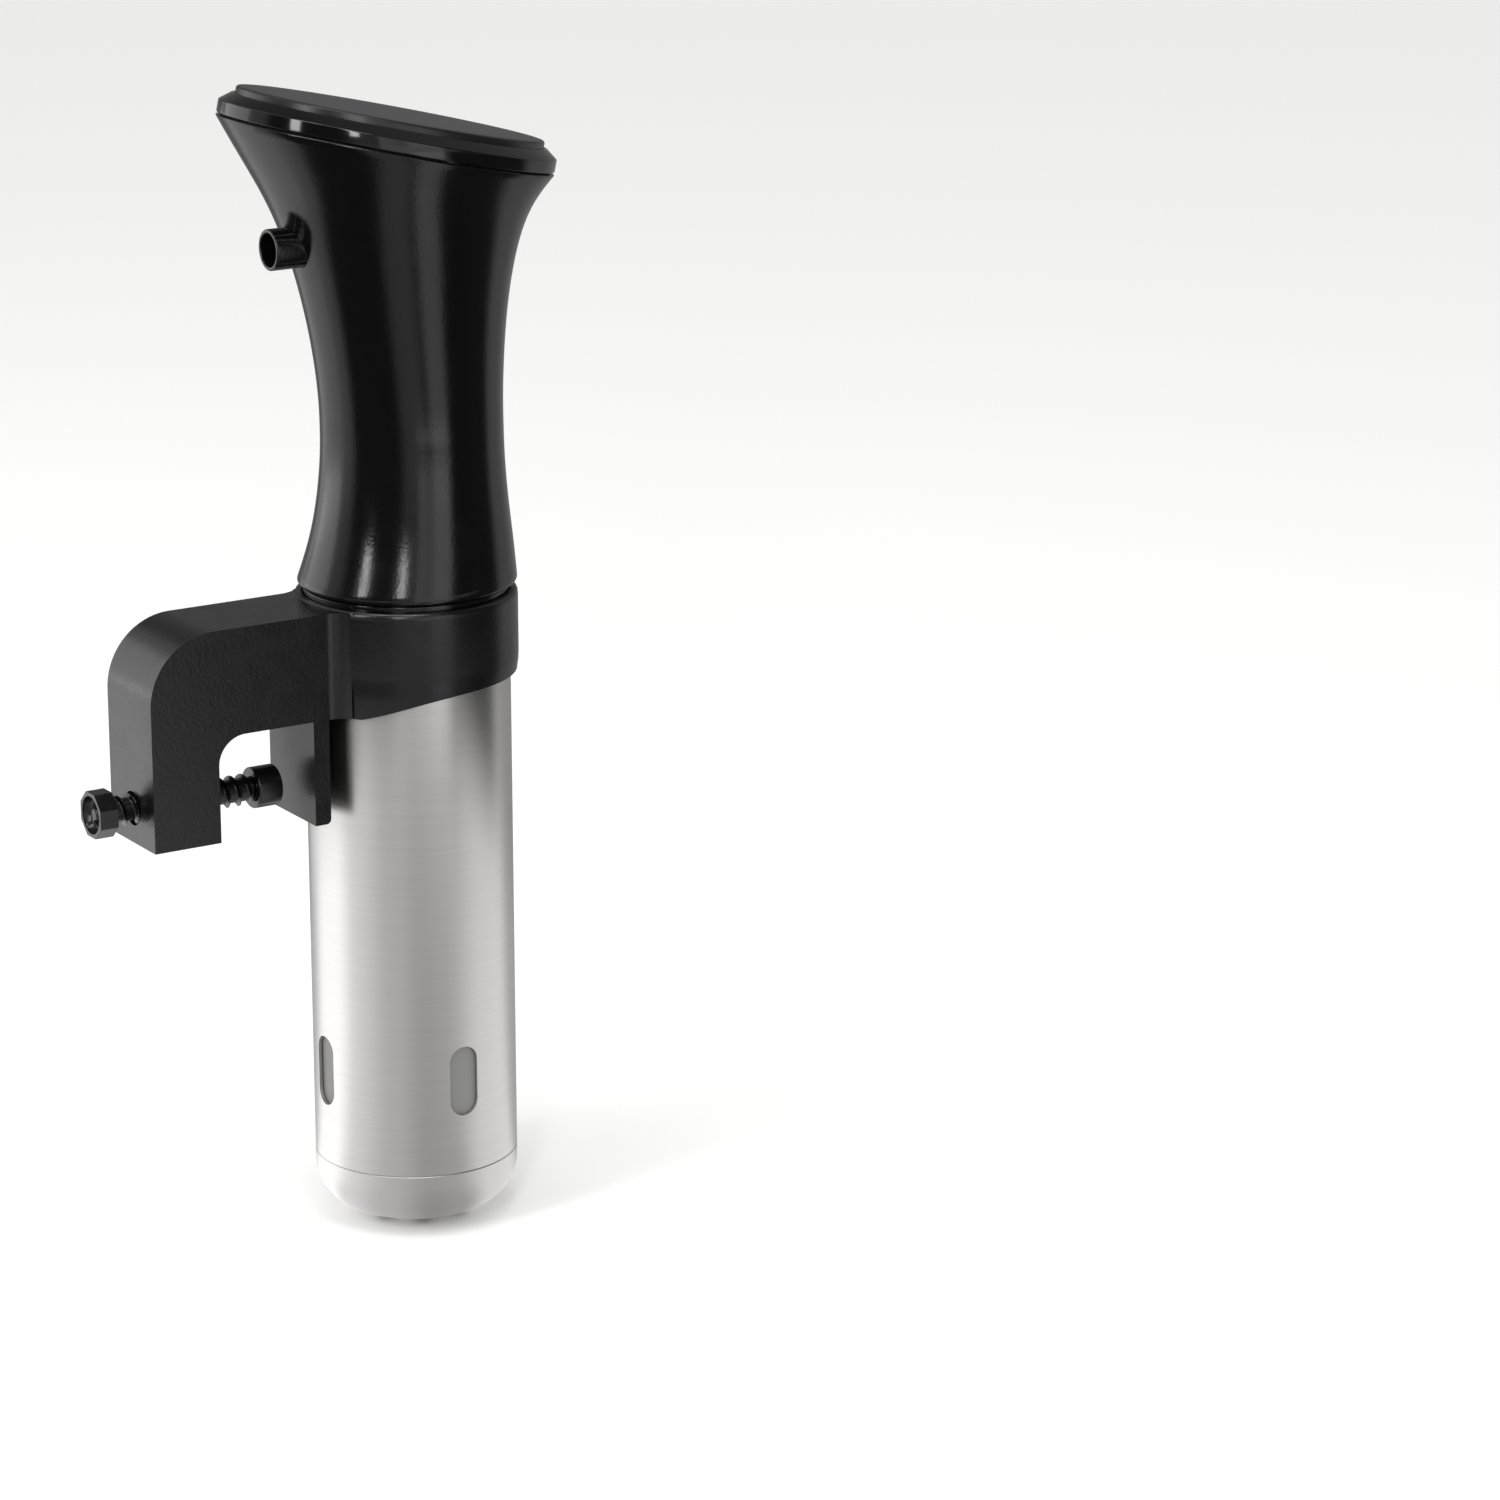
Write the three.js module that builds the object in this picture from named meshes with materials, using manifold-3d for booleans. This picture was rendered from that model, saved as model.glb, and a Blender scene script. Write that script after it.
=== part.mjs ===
// A clamp-on sous vide circulator: a waisted head with a slanted touch panel, a steel sleeve that
// hangs in the water bath, and an arm with a hand screw that grips the wall of the bath.
// Millimetres, +Z up. The origin is the middle of the arm's underside, where it rests on the rim.
// Inside the group `unit`, x = y = 0 is the sleeve's axis and z = 0 is the top of the clamp ring.
import * as THREE from "three";
import { mergeVertices } from "three/addons/utils/BufferGeometryUtils.js";
import Module from "manifold-3d";

const wasm = await Module();
wasm.setup();

// ---------------------------------------------------------------- driving dimensions
const GAP = 0.3; // between pieces that touch

const SLEEVE_RADIUS = 30;
const SLEEVE_WALL = 1;
const SLEEVE_TOP = -1.3;
const SLEEVE_BOTTOM = -171;
const SLOT = { width: 9, height: 21.2, middle: -142.7, count: 4 };

const CAP_BOTTOM = -190;
const CAP_CORNER = 14;
const CAP_DISH = 1.5;
const CAP_WALL = 1.8;
const CAP_SPIGOT_TOP = -162;
const CAP_HOLES = { count: 8, radius: 2.6, circle: 15 };

const HEAD_BASE = 2;
const HEAD_WALL = 2.5;
const HEAD_EDGE = 1.4;
const WAIST_HEIGHT = 48;
const TOP_TILT = THREE.MathUtils.degToRad(12.9);
// Sections of the head, from the base to the rim: middle's height, middle's x, half length along x.
const HEAD_SECTIONS = [
  [HEAD_BASE + HEAD_EDGE, 0.5, 31.8],
  [12, 1.7, 30],
  [28, 2.7, 27.5],
  [WAIST_HEIGHT, 2.9, 26.4],
  [66, 2.4, 27.4],
  [84, 1.3, 30],
  [98, 0.1, 33.4],
  [110, -1.4, 37.9],
  [120, -2.9, 43.5],
  [129.25, -3.7, 49.9],
];
const RIM_HALF_WIDTH = 43.2;

// The touch panel's oval top face; the bezel, the boards and the seal are offset from it.
const PANEL = { x: -1.64, z: 138.23, halfLength: 45.6, halfWidth: 38.9, thickness: 3.3 };
const RIM_DEPTH = 9.2; // from the panel's face down to the head's rim

const INLET = { height: 103, mouth: -41.8, radius: 5.9, bore: 4.8, collar: 8 };

const ARM_WIDTH = 27.8;
const ARM_TOP = -0.4;
const ARM_UNDERSIDE = -31.6;
const LEG_OUTER = -89.3;
const LEG_INNER = -68.5;
const LEG_BOTTOM = -62.6;
const JAW_OUTER = -38.3;
const JAW_INNER = -33.3;
const ARM_CORNER = 20;
const LEG_FILLET = 8.5;
const RING_BORE = SLEEVE_RADIUS + 0.4;
const RING_RADIUS = 32.3;
const RING_FILLET = 7;
const RING_LOW_EDGE = -23.8;

const SCREW = { height: -52.4, core: 3.4, crest: 4.6, pitch: 3.6, bore: 5 };
const KNOB = { front: -102.4, back: -96.8, corner: 7.05, cup: 5.5, cupDepth: 2.7 };
const FOOT = { back: -52, face: -44.3, radius: 6 };

const SHAFT_RADIUS = 2.5;
const SHAFT_BORE = SHAFT_RADIUS + GAP;
const MOTOR = { radius: 17.5, wall: 1.2, bottom: -2.2, top: 44 };
const BEARING_RADIUS = 6;
const PLUG = { bottom: -14, floor: -8, top: 5, bore: 7, inner: 21.5 };
const NECK_SCREWS = { circle: 23.6, angles: [30, 150, 270] };
const PROBES = { circle: 12, top: -7.3 };
const COIL = { radius: 20, tube: 3, turns: 5, top: -84, bottom: -149, returnRadius: 13 };

const ROUND = 28; // segments round a large piece
const SMALL_ROUND = 12; // segments round a small piece

// ---------------------------------------------------------------- finishes
function finish(color, roughness, metalness) {
  return new THREE.MeshStandardMaterial({ color, roughness, metalness });
}

const blackPlastic = () => finish(0x121212, 0.35, 0);
const glossPlastic = () => finish(0x0e0e0e, 0.1, 0);
const panelGlass = () => finish(0x343434, 0.5, 0);
const brushedSteel = () => finish(0xc4c4c2, 0.35, 1);
const satinSteel = () => finish(0xb4b4b2, 0.25, 1);
const zincSteel = () => finish(0x9a9c9e, 0.4, 1);
const blackRubber = () => finish(0x1c1c1c, 0.8, 0);
const redRubber = () => finish(0x8c3a2c, 0.7, 0);
const greenBoard = () => finish(0x1f5a35, 0.5, 0);
const greyPlastic = () => finish(0xa6a6a4, 0.5, 0);
const copperWinding = () => finish(0xa0622c, 0.4, 1);
const whiteBush = () => finish(0xe4e2da, 0.5, 0);

// ---------------------------------------------------------------- solids
function radians(degrees) {
  return THREE.MathUtils.degToRad(degrees);
}

// A point at a radius and an angle in degrees round the axis.
function polar(radius, degrees, z = 0) {
  const angle = radians(degrees);
  return new THREE.Vector3(radius * Math.cos(angle), radius * Math.sin(angle), z);
}

// A closed geometry as a solid that can be joined and cut.
function solidOf(geometry) {
  const plain = geometry.index ? geometry.toNonIndexed() : geometry.clone();
  plain.deleteAttribute("normal");
  plain.deleteAttribute("uv");
  const merged = mergeVertices(plain, 1e-4);
  return new wasm.Manifold(
    new wasm.Mesh({
      numProp: 3,
      vertProperties: new Float32Array(merged.attributes.position.array),
      triVerts: new Uint32Array(merged.index.array),
    }),
  );
}

function geometryOf(solid) {
  const mesh = solid.getMesh();
  const geometry = new THREE.BufferGeometry();
  geometry.setAttribute("position", new THREE.BufferAttribute(mesh.vertProperties, 3));
  geometry.setIndex(new THREE.BufferAttribute(mesh.triVerts, 1));
  geometry.computeVertexNormals();
  return geometry;
}

function join(first, ...others) {
  return geometryOf(others.reduce((whole, other) => whole.add(solidOf(other)), solidOf(first)));
}

function cut(body, ...tools) {
  return geometryOf(tools.reduce((rest, tool) => rest.subtract(solidOf(tool)), solidOf(body)));
}

// A body of revolution about Z from an outline of [radius, height] points. The outline starts and
// ends on the axis, or it closes on itself and leaves a bore.
function turned(outline, segments = ROUND) {
  const points = outline.map(([radius, height]) => new THREE.Vector2(radius, height));
  const first = points[0];
  const meetsAxis = first.x === 0 && points.at(-1).x === 0;
  if (!meetsAxis) points.push(first.clone());
  const turn = (profile) => new THREE.LatheGeometry(profile, segments).rotateX(Math.PI / 2);
  const geometry = turn(points);
  return solidOf(geometry).volume() > 0 ? geometry : turn(points.reverse());
}

// A plain round bar from z = low to z = high.
function bar(radius, low, high, segments = SMALL_ROUND) {
  return turned([[0, low], [radius, low], [radius, high], [0, high]], segments);
}

// A round tube from z = low to z = high.
function tube(inner, outer, low, high, segments = ROUND) {
  return turned([[inner, low], [outer, low], [outer, high], [inner, high]], segments);
}

// A box between two corners.
function block([x0, y0, z0], [x1, y1, z1]) {
  const box = new THREE.BoxGeometry(x1 - x0, y1 - y0, z1 - z0);
  return box.translate((x0 + x1) / 2, (y0 + y1) / 2, (z0 + z1) / 2);
}

// A shape drawn in the x-z plane and given a width along y, centred on y = 0.
function sidePlate(shape, width) {
  const options = { depth: width, bevelEnabled: false, curveSegments: 8 };
  return new THREE.ExtrudeGeometry(shape, options).rotateX(Math.PI / 2).translate(0, width / 2, 0);
}

// A shape drawn in the x-y plane and raised from z = low to z = high.
function upright(shape, low, high) {
  const options = { depth: high - low, bevelEnabled: false, curveSegments: 8 };
  return new THREE.ExtrudeGeometry(shape, options).translate(0, 0, low);
}

// A body whose skin runs through closed rings of points and from the last ring back to the first.
function ringLoop(rings) {
  const count = rings[0].length;
  const triangles = [];
  rings.forEach((ring, i) => {
    const next = (i + 1) % rings.length;
    ring.forEach((_, j) => {
      const k = (j + 1) % count;
      const [a, b] = [i * count + j, i * count + k];
      const [c, d] = [next * count + k, next * count + j];
      triangles.push(a, b, c, a, c, d);
    });
  });
  const geometry = new THREE.BufferGeometry().setFromPoints(rings.flat());
  geometry.setIndex(triangles);
  if (solidOf(geometry).volume() < 0) {
    geometry.setIndex(triangles.toReversed());
  }
  return geometry;
}

// An oval ring of points in a plane that is tilted about y, raised along its own normal.
function ovalRing(x, z, halfLength, halfWidth, tilt, rise = 0) {
  const place = new THREE.Matrix4().makeRotationY(tilt).setPosition(x, 0, z);
  return Array.from({ length: ROUND }, (_, i) => {
    const turn = (i / ROUND) * 2 * Math.PI;
    const point = new THREE.Vector3(halfLength * Math.cos(turn), halfWidth * Math.sin(turn), rise);
    return point.applyMatrix4(place);
  });
}

// An oval piece concentric with the touch panel. Its outline's points are [offset, height]: the
// distance outside the panel's edge and the height above the panel's face.
function ovalPiece(outline) {
  return ringLoop(
    outline.map(([offset, height]) =>
      ovalRing(0, 0, PANEL.halfLength + offset, PANEL.halfWidth + offset, 0, height),
    ),
  );
}

// A plate with the panel's oval outline, from height low to height high.
function ovalPlate(offset, low, high) {
  const shape = new THREE.Shape();
  shape.absellipse(0, 0, PANEL.halfLength + offset, PANEL.halfWidth + offset, 0, 2 * Math.PI);
  const options = { depth: high - low, bevelEnabled: false, curveSegments: ROUND / 2 };
  return new THREE.ExtrudeGeometry(shape, options).translate(0, 0, low);
}

// A pan-head screw that points down, with its head's underside at z = 0.
function screw(headRadius, headHeight, shankRadius, length) {
  return turned(
    [
      [0, -length],
      [shankRadius, -length],
      [shankRadius, 0],
      [headRadius, 0],
      [headRadius, headHeight * 0.6],
      [headRadius * 0.7, headHeight],
      [0, headHeight],
    ],
    8,
  );
}

const unit = new THREE.Group();
const slantedTop = new THREE.Group();

function add(parent, name, geometry, material, position = [0, 0, 0], rotation = [0, 0, 0]) {
  const mesh = new THREE.Mesh(geometry, material);
  mesh.name = name;
  mesh.position.set(...position);
  mesh.rotation.set(...rotation);
  parent.add(mesh);
}

// ---------------------------------------------------------------- head shell
const headLine = new THREE.CatmullRomCurve3(
  HEAD_SECTIONS.map(([z, x, halfLength]) => new THREE.Vector3(x, halfLength, z)),
);
const RIM_TAPER = RIM_HALF_WIDTH / HEAD_SECTIONS.at(-1)[2];
const RIM_HEIGHT = HEAD_SECTIONS.at(-1)[0];

// How far the section at a height has gone from the round, level waist to the oval, tilted rim.
function towardsRim(z) {
  return THREE.MathUtils.clamp((z - WAIST_HEIGHT) / (RIM_HEIGHT - WAIST_HEIGHT), 0, 1);
}

// One ring of the head's skin, moved inwards by inset and along the section's normal by rise.
function headRing(section, inset, rise = 0) {
  const part = towardsRim(section.z);
  const halfWidth = section.y * (1 - (1 - RIM_TAPER) * part ** 0.8);
  const tilt = TOP_TILT * part ** 1.6;
  return ovalRing(section.x, section.z, section.y - inset, halfWidth - inset, tilt, rise);
}

function headShell() {
  const sections = headLine.getPoints(10);
  const base = sections[0];
  const rim = sections.at(-1);
  const sealDepth = 1.3;
  const lip = 0.45;
  const grooveInset = 1.15;
  const skin = ringLoop([
    headRing(base, HEAD_WALL, -HEAD_EDGE),
    headRing(base, HEAD_EDGE, -HEAD_EDGE),
    ...sections.map((section) => headRing(section, 0)),
    headRing(rim, lip, lip),
    headRing(rim, grooveInset, lip),
    headRing(rim, grooveInset, -sealDepth),
    headRing(rim, HEAD_WALL, -sealDepth),
    ...sections.slice(0, -1).reverse().map((section) => headRing(section, HEAD_WALL)),
  ]);
  const flange = tube(20, 29.6, PLUG.top + GAP, PLUG.top + 3.3).translate(0.9, 0, 0);
  const inletHole = bar(INLET.radius + GAP, 0, 20, 24).rotateY(-Math.PI / 2);
  const screwHoles = NECK_SCREWS.angles.map((angle) => {
    const at = polar(NECK_SCREWS.circle, angle);
    return bar(1.8, 4, 10).translate(at.x, at.y, 0);
  });
  return cut(join(skin, flange), inletHole.translate(-24, 0, INLET.height), ...screwHoles);
}

add(unit, "head_shell", headShell(), blackPlastic());

// A hollow bush for the cord, turned about x, with a collar inside the shell.
const inletBush = turned(
  [
    [INLET.bore, 25.5],
    [INLET.collar, 25.5],
    [INLET.collar, 27.5],
    [INLET.radius, 27.5],
    [INLET.radius, -INLET.mouth],
    [INLET.bore, -INLET.mouth],
  ],
  24,
).rotateY(-Math.PI / 2);
add(unit, "cord_inlet", inletBush, blackPlastic(), [0, 0, INLET.height]);

// ---------------------------------------------------------------- slanted top
slantedTop.position.set(PANEL.x, 0, PANEL.z);
slantedTop.rotation.y = TOP_TILT;
unit.add(slantedTop);

const DISPLAY_SCREWS = [
  [PANEL.halfLength - 2.2, 0],
  [0, PANEL.halfWidth - 2.2],
  [2.2 - PANEL.halfLength, 0],
  [0, 2.2 - PANEL.halfWidth],
];
const BOARD_TOP = -6.5;
const BOARD_BOTTOM = -8.1;

function touchPanel() {
  const plate = ovalPlate(0, -PANEL.thickness, -0.6);
  const raised = ovalPlate(-0.5, -1, 0);
  return join(plate, raised);
}

function bezelRing() {
  const ring = ovalPiece([
    [0.9, -2.1],
    [4.3, -4.6],
    [4.3, -8.3],
    [1.9, -8.3],
    [1.9, -6.2],
    [-4.5, -6.2],
    [-4.5, -PANEL.thickness - GAP],
    [GAP, -PANEL.thickness - GAP],
    [GAP, -2.1],
  ]);
  const pilots = DISPLAY_SCREWS.map(([x, y]) => bar(1.5, -7, -4.6).translate(x, y, 0));
  return cut(ring, ...pilots);
}

function displayBoard() {
  const board = ovalPlate(-0.6, BOARD_BOTTOM, BOARD_TOP);
  const holes = DISPLAY_SCREWS.map(([x, y]) => bar(1.5, -9, -6).translate(x, y, 0));
  return cut(board, ...holes);
}

const bezelSeal = ovalPiece([[2.1, -10.1], [2.9, -10.1], [2.9, -8.6], [2.1, -8.6]]);
const displayBlock = block([-12, -18, BOARD_TOP + GAP], [6, 18, -PANEL.thickness - GAP]);
const touchSpring = bar(2.6, BOARD_TOP + GAP, -PANEL.thickness - GAP);
const buzzer = bar(6, BOARD_BOTTOM - 6, BOARD_BOTTOM - GAP, 20);

add(slantedTop, "touch_panel", touchPanel(), panelGlass());
add(slantedTop, "bezel_ring", bezelRing(), glossPlastic());
add(slantedTop, "bezel_seal", bezelSeal, blackRubber());
add(slantedTop, "display_board", displayBoard(), greenBoard());
add(slantedTop, "display_block", displayBlock, blackPlastic());
add(slantedTop, "buzzer", buzzer, blackPlastic(), [-14, 12, 0]);
for (const [i, y] of [-14, 0, 14].entries()) {
  add(slantedTop, `touch_spring_${i + 1}`, touchSpring, zincSteel(), [20, y, 0]);
}
for (const [i, [x, y]] of DISPLAY_SCREWS.entries()) {
  const position = [x, y, BOARD_BOTTOM - GAP];
  const upwards = [Math.PI, 0, 0];
  add(slantedTop, `display_screw_${i + 1}`, screw(2.4, 1.3, 1.2, 2.9), zincSteel(), position, upwards);
}

// ---------------------------------------------------------------- power board
const WALL = { left: -13, right: 19, front: 11, back: 13, bottom: 48, top: 92 };
const BOARD = { left: -12, right: 18, front: 8.4, back: 10, bottom: 52, top: 91 };
const BOARD_SCREWS = [[-8, 74], [15, 74]];
const CARRIER_BASE = 47.3;

// A round bar along y, for the holes through the upright board.
function holeAlongY(radius, x, z) {
  return bar(radius, -20, 20).rotateX(Math.PI / 2).translate(x, 0, z);
}

function boardCarrier() {
  const foot = bar(20, CARRIER_BASE, CARRIER_BASE + 2, ROUND).translate(3, 0, 0);
  const wall = block([WALL.left, WALL.front, WALL.bottom], [WALL.right, WALL.back, WALL.top]);
  return cut(join(foot, wall), ...BOARD_SCREWS.map(([x, z]) => holeAlongY(1.6, x, z)));
}

function mainBoard() {
  const plate = block([BOARD.left, BOARD.front, BOARD.bottom], [BOARD.right, BOARD.back, BOARD.top]);
  return cut(plate, ...BOARD_SCREWS.map(([x, z]) => holeAlongY(1.6, x, z)));
}

function heatSink() {
  const [left, right, root] = [-10, 16, BOARD.front - GAP];
  const base = block([left, root - 3, 77], [right, root, 90]);
  const fins = [];
  for (let x = left; x < right; x += 5) {
    fins.push(block([x, root - 13, 77], [x + 1, root - 2, 90]));
  }
  return join(base, ...fins);
}

const relay = block([-10, BOARD.front - 15, 54], [6, BOARD.front - GAP, 70]);
add(unit, "board_carrier", boardCarrier(), greyPlastic());
add(unit, "main_board", mainBoard(), greenBoard());
add(unit, "heat_sink", heatSink(), zincSteel());
add(unit, "power_relay", relay, blackPlastic());
add(unit, "filter_capacitor", bar(4.5, 54, 71, 20), blackPlastic(), [12, BOARD.front - 5, 0]);
for (const [i, [x, z]] of BOARD_SCREWS.entries()) {
  const position = [x, BOARD.front - GAP, z];
  const alongY = [-Math.PI / 2, 0, 0];
  const boardScrew = screw(2.6, 1.5, 1.3, 4.5);
  boardScrew.rotateX(Math.PI);
  add(unit, `board_screw_${i + 1}`, boardScrew, zincSteel(), position, alongY);
}

// ---------------------------------------------------------------- motor and shaft
function motorCan() {
  const floorTop = MOTOR.bottom + 3;
  const inner = MOTOR.radius - MOTOR.wall;
  const can = turned([
    [BEARING_RADIUS + GAP, MOTOR.bottom],
    [MOTOR.radius, MOTOR.bottom],
    [MOTOR.radius, MOTOR.top],
    [inner, MOTOR.top],
    [inner, floorTop],
    [BEARING_RADIUS + GAP, floorTop],
  ]);
  return cut(can, ...[-11, 11].map((x) => bar(1.8, -5, 3).translate(x, 0, 0)));
}

function motorPlate() {
  const plate = tube(PLUG.bore, 20.5, -4.5, -2.5);
  return cut(plate, ...[-11, 11].map((x) => bar(1.8, -6, 0).translate(x, 0, 0)));
}

function impeller() {
  const [low, high, reach] = [-171.5, -163.5, 20];
  const hub = bar(5, low, high, 20);
  const disc = bar(reach, low, low + 1.5, 32);
  const blades = Array.from({ length: 5 }, (_, i) =>
    block([3, -0.8, low + 1], [reach, 0.8, high]).rotateZ(radians(72 * i)),
  );
  return cut(join(disc, hub, ...blades), bar(SHAFT_BORE, low - 1, high + 1));
}

const bearingHeight = 2.6;
add(unit, "motor_can", motorCan(), zincSteel());
add(unit, "motor_cap", tube(BEARING_RADIUS + GAP, MOTOR.radius, 44.3, 47), zincSteel());
add(unit, "stator_stack", tube(10.8, 16, 8, 36), copperWinding());
add(unit, "rotor_core", tube(SHAFT_BORE, 10.4, 9, 35), zincSteel());
add(unit, "drive_shaft", bar(SHAFT_RADIUS, -174, 46.5), satinSteel());
for (const [name, low] of [["lower_bearing", -2], ["upper_bearing", 44.4]]) {
  const bearing = tube(SHAFT_BORE, BEARING_RADIUS, low, low + bearingHeight, 24);
  add(unit, name, bearing, satinSteel());
}
add(unit, "motor_plate", motorPlate(), zincSteel());
add(unit, "damper_ring", tube(15, 20.5, -7.7, -4.8), blackRubber());
for (const [i, x] of [-11, 11].entries()) {
  const upwards = [Math.PI, 0, 0];
  add(unit, `motor_screw_${i + 1}`, screw(2.8, 1.7, 1.5, 4.5), zincSteel(), [x, 0, -4.8], upwards);
}

// ---------------------------------------------------------------- neck
const GROOVE = { bottom: 27.3, half: 1.1 };

function neckPlug() {
  const spigot = SLEEVE_RADIUS - SLEEVE_WALL - GAP;
  const groove = -8.2;
  const plug = turned([
    [PLUG.bore, PLUG.bottom],
    [spigot, PLUG.bottom],
    [spigot, groove - GROOVE.half],
    [GROOVE.bottom, groove - GROOVE.half],
    [GROOVE.bottom, groove + GROOVE.half],
    [spigot, groove + GROOVE.half],
    [spigot, SLEEVE_TOP + GAP],
    [SLEEVE_RADIUS, SLEEVE_TOP + GAP],
    [SLEEVE_RADIUS, HEAD_BASE - GAP],
    [27.4, HEAD_BASE - GAP],
    [27.4, PLUG.top],
    [PLUG.inner, PLUG.top],
    [PLUG.inner, PLUG.floor],
    [PLUG.bore, PLUG.floor],
  ]);
  const screwHoles = NECK_SCREWS.angles.map((angle) => {
    const at = polar(NECK_SCREWS.circle, angle);
    return bar(1.8, -5, 7).translate(at.x, at.y, 0);
  });
  const heaterHoles = [polar(COIL.radius, 0), polar(COIL.returnRadius, 52)].map((at) =>
    bar(COIL.tube + 0.5, -16, -6).translate(at.x, at.y, 0),
  );
  const probeHoles = [200, 110, 150].map((angle) => {
    const at = polar(PROBES.circle, angle);
    return bar(2, -16, -6).translate(at.x, at.y, 0);
  });
  return cut(plug, ...screwHoles, ...heaterHoles, ...probeHoles);
}

// A round seal ring at the bottom of its groove.
function sealRing(height) {
  const section = 0.55;
  const middle = GROOVE.bottom + GAP + section;
  const outline = [0, 60, 120, 180, 240, 300].map((angle) => {
    const at = polar(section, angle);
    return [middle + at.x, height + at.y];
  });
  return turned(outline);
}

add(unit, "neck_plug", neckPlug(), blackPlastic());
add(unit, "sleeve_seal", sealRing(-8.2), redRubber());
add(unit, "shaft_seal", tube(SHAFT_BORE, PLUG.bore - GAP, -13.5, -9, 24), redRubber());
for (const [i, angle] of NECK_SCREWS.angles.entries()) {
  const at = polar(NECK_SCREWS.circle, angle, PLUG.top + 3.6);
  add(unit, `neck_screw_${i + 1}`, screw(2.8, 2, 1.5, 12.6), zincSteel(), at.toArray());
}

// ---------------------------------------------------------------- heater and probes
function heaterCoil() {
  const startAngle = 35;
  const stepsPerTurn = 12;
  const steps = COIL.turns * stepsPerTurn;
  const legAngle = 52;
  const route = [
    polar(COIL.radius, 0, -9),
    polar(COIL.radius, 0, -40),
    polar(COIL.radius, 0, -70),
    polar(COIL.radius, 9, -79),
  ];
  for (let i = 0; i <= steps; i += 1) {
    const height = COIL.top + ((COIL.bottom - COIL.top) * i) / steps;
    route.push(polar(COIL.radius, startAngle + (360 * i) / stepsPerTurn, height));
  }
  const endAngle = startAngle + 360 * COIL.turns;
  route.push(
    polar(COIL.radius - 2, endAngle + 18, COIL.bottom - 2),
    polar(COIL.returnRadius + 1, endAngle + 36, COIL.bottom),
    polar(COIL.returnRadius, endAngle + 50, COIL.bottom + 9),
    polar(COIL.returnRadius, legAngle + 35, COIL.bottom + 22),
    polar(COIL.returnRadius, legAngle + 15, -100),
    polar(COIL.returnRadius, legAngle, -60),
    polar(COIL.returnRadius, legAngle, -9),
  );
  const section = new THREE.Shape();
  section.absarc(0, 0, COIL.tube, 0, 2 * Math.PI);
  const options = {
    steps: 84,
    curveSegments: 4,
    bevelEnabled: false,
    extrudePath: new THREE.CatmullRomCurve3(route),
  };
  return new THREE.ExtrudeGeometry(section, options);
}

// A metal probe with a domed tip, hanging down from the neck.
function probe(radius, bottom) {
  return turned(
    [[0, bottom], [radius * 0.7, bottom + radius * 0.3], [radius, bottom + radius], [radius, PROBES.top], [0, PROBES.top]],
    12,
  );
}

const shaftTube = turned(
  [[5, -150], [6.5, -150], [6.5, -17], [9, -17], [9, PLUG.bottom - GAP], [5, PLUG.bottom - GAP]],
  24,
);
add(unit, "shaft_tube", shaftTube, satinSteel());
add(unit, "tube_bush", tube(SHAFT_BORE, 4.7, -150, -143, 24), whiteBush());
add(unit, "heater_coil", heaterCoil(), satinSteel());
add(unit, "temperature_probe", probe(1.6, -150), satinSteel(), polar(PROBES.circle, 200).toArray());
for (const [i, angle] of [110, 150].entries()) {
  const at = polar(PROBES.circle, angle).toArray();
  add(unit, `level_probe_${i + 1}`, probe(1.3, -75), satinSteel(), at);
}

// ---------------------------------------------------------------- sleeve, pump and end cap
function steelSleeve() {
  const inner = SLEEVE_RADIUS - SLEEVE_WALL;
  const sleeve = tube(inner, SLEEVE_RADIUS, SLEEVE_BOTTOM, SLEEVE_TOP);
  const end = SLOT.height / 2 - SLOT.width / 2;
  const slot = new THREE.Shape();
  slot.absarc(0, end, SLOT.width / 2, 0, Math.PI);
  slot.absarc(0, -end, SLOT.width / 2, Math.PI, 2 * Math.PI);
  const options = { depth: 10, bevelEnabled: false, curveSegments: 8 };
  const cutter = new THREE.ExtrudeGeometry(slot, options)
    .rotateX(Math.PI / 2)
    .translate(0, -25, SLOT.middle);
  const cutters = Array.from({ length: SLOT.count }, (_, i) =>
    cutter.clone().rotateZ((2 * Math.PI * i) / SLOT.count),
  );
  return cut(sleeve, ...cutters);
}

// The quarter round between a wall of the given radius and a floor, from the wall to the floor.
function cornerArc(radius, corner, floor) {
  return Array.from({ length: 5 }, (_, i) => {
    const turn = radians(22.5 * i);
    return [radius - corner * (1 - Math.cos(turn)), floor + corner * (1 - Math.sin(turn))];
  });
}

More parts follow.
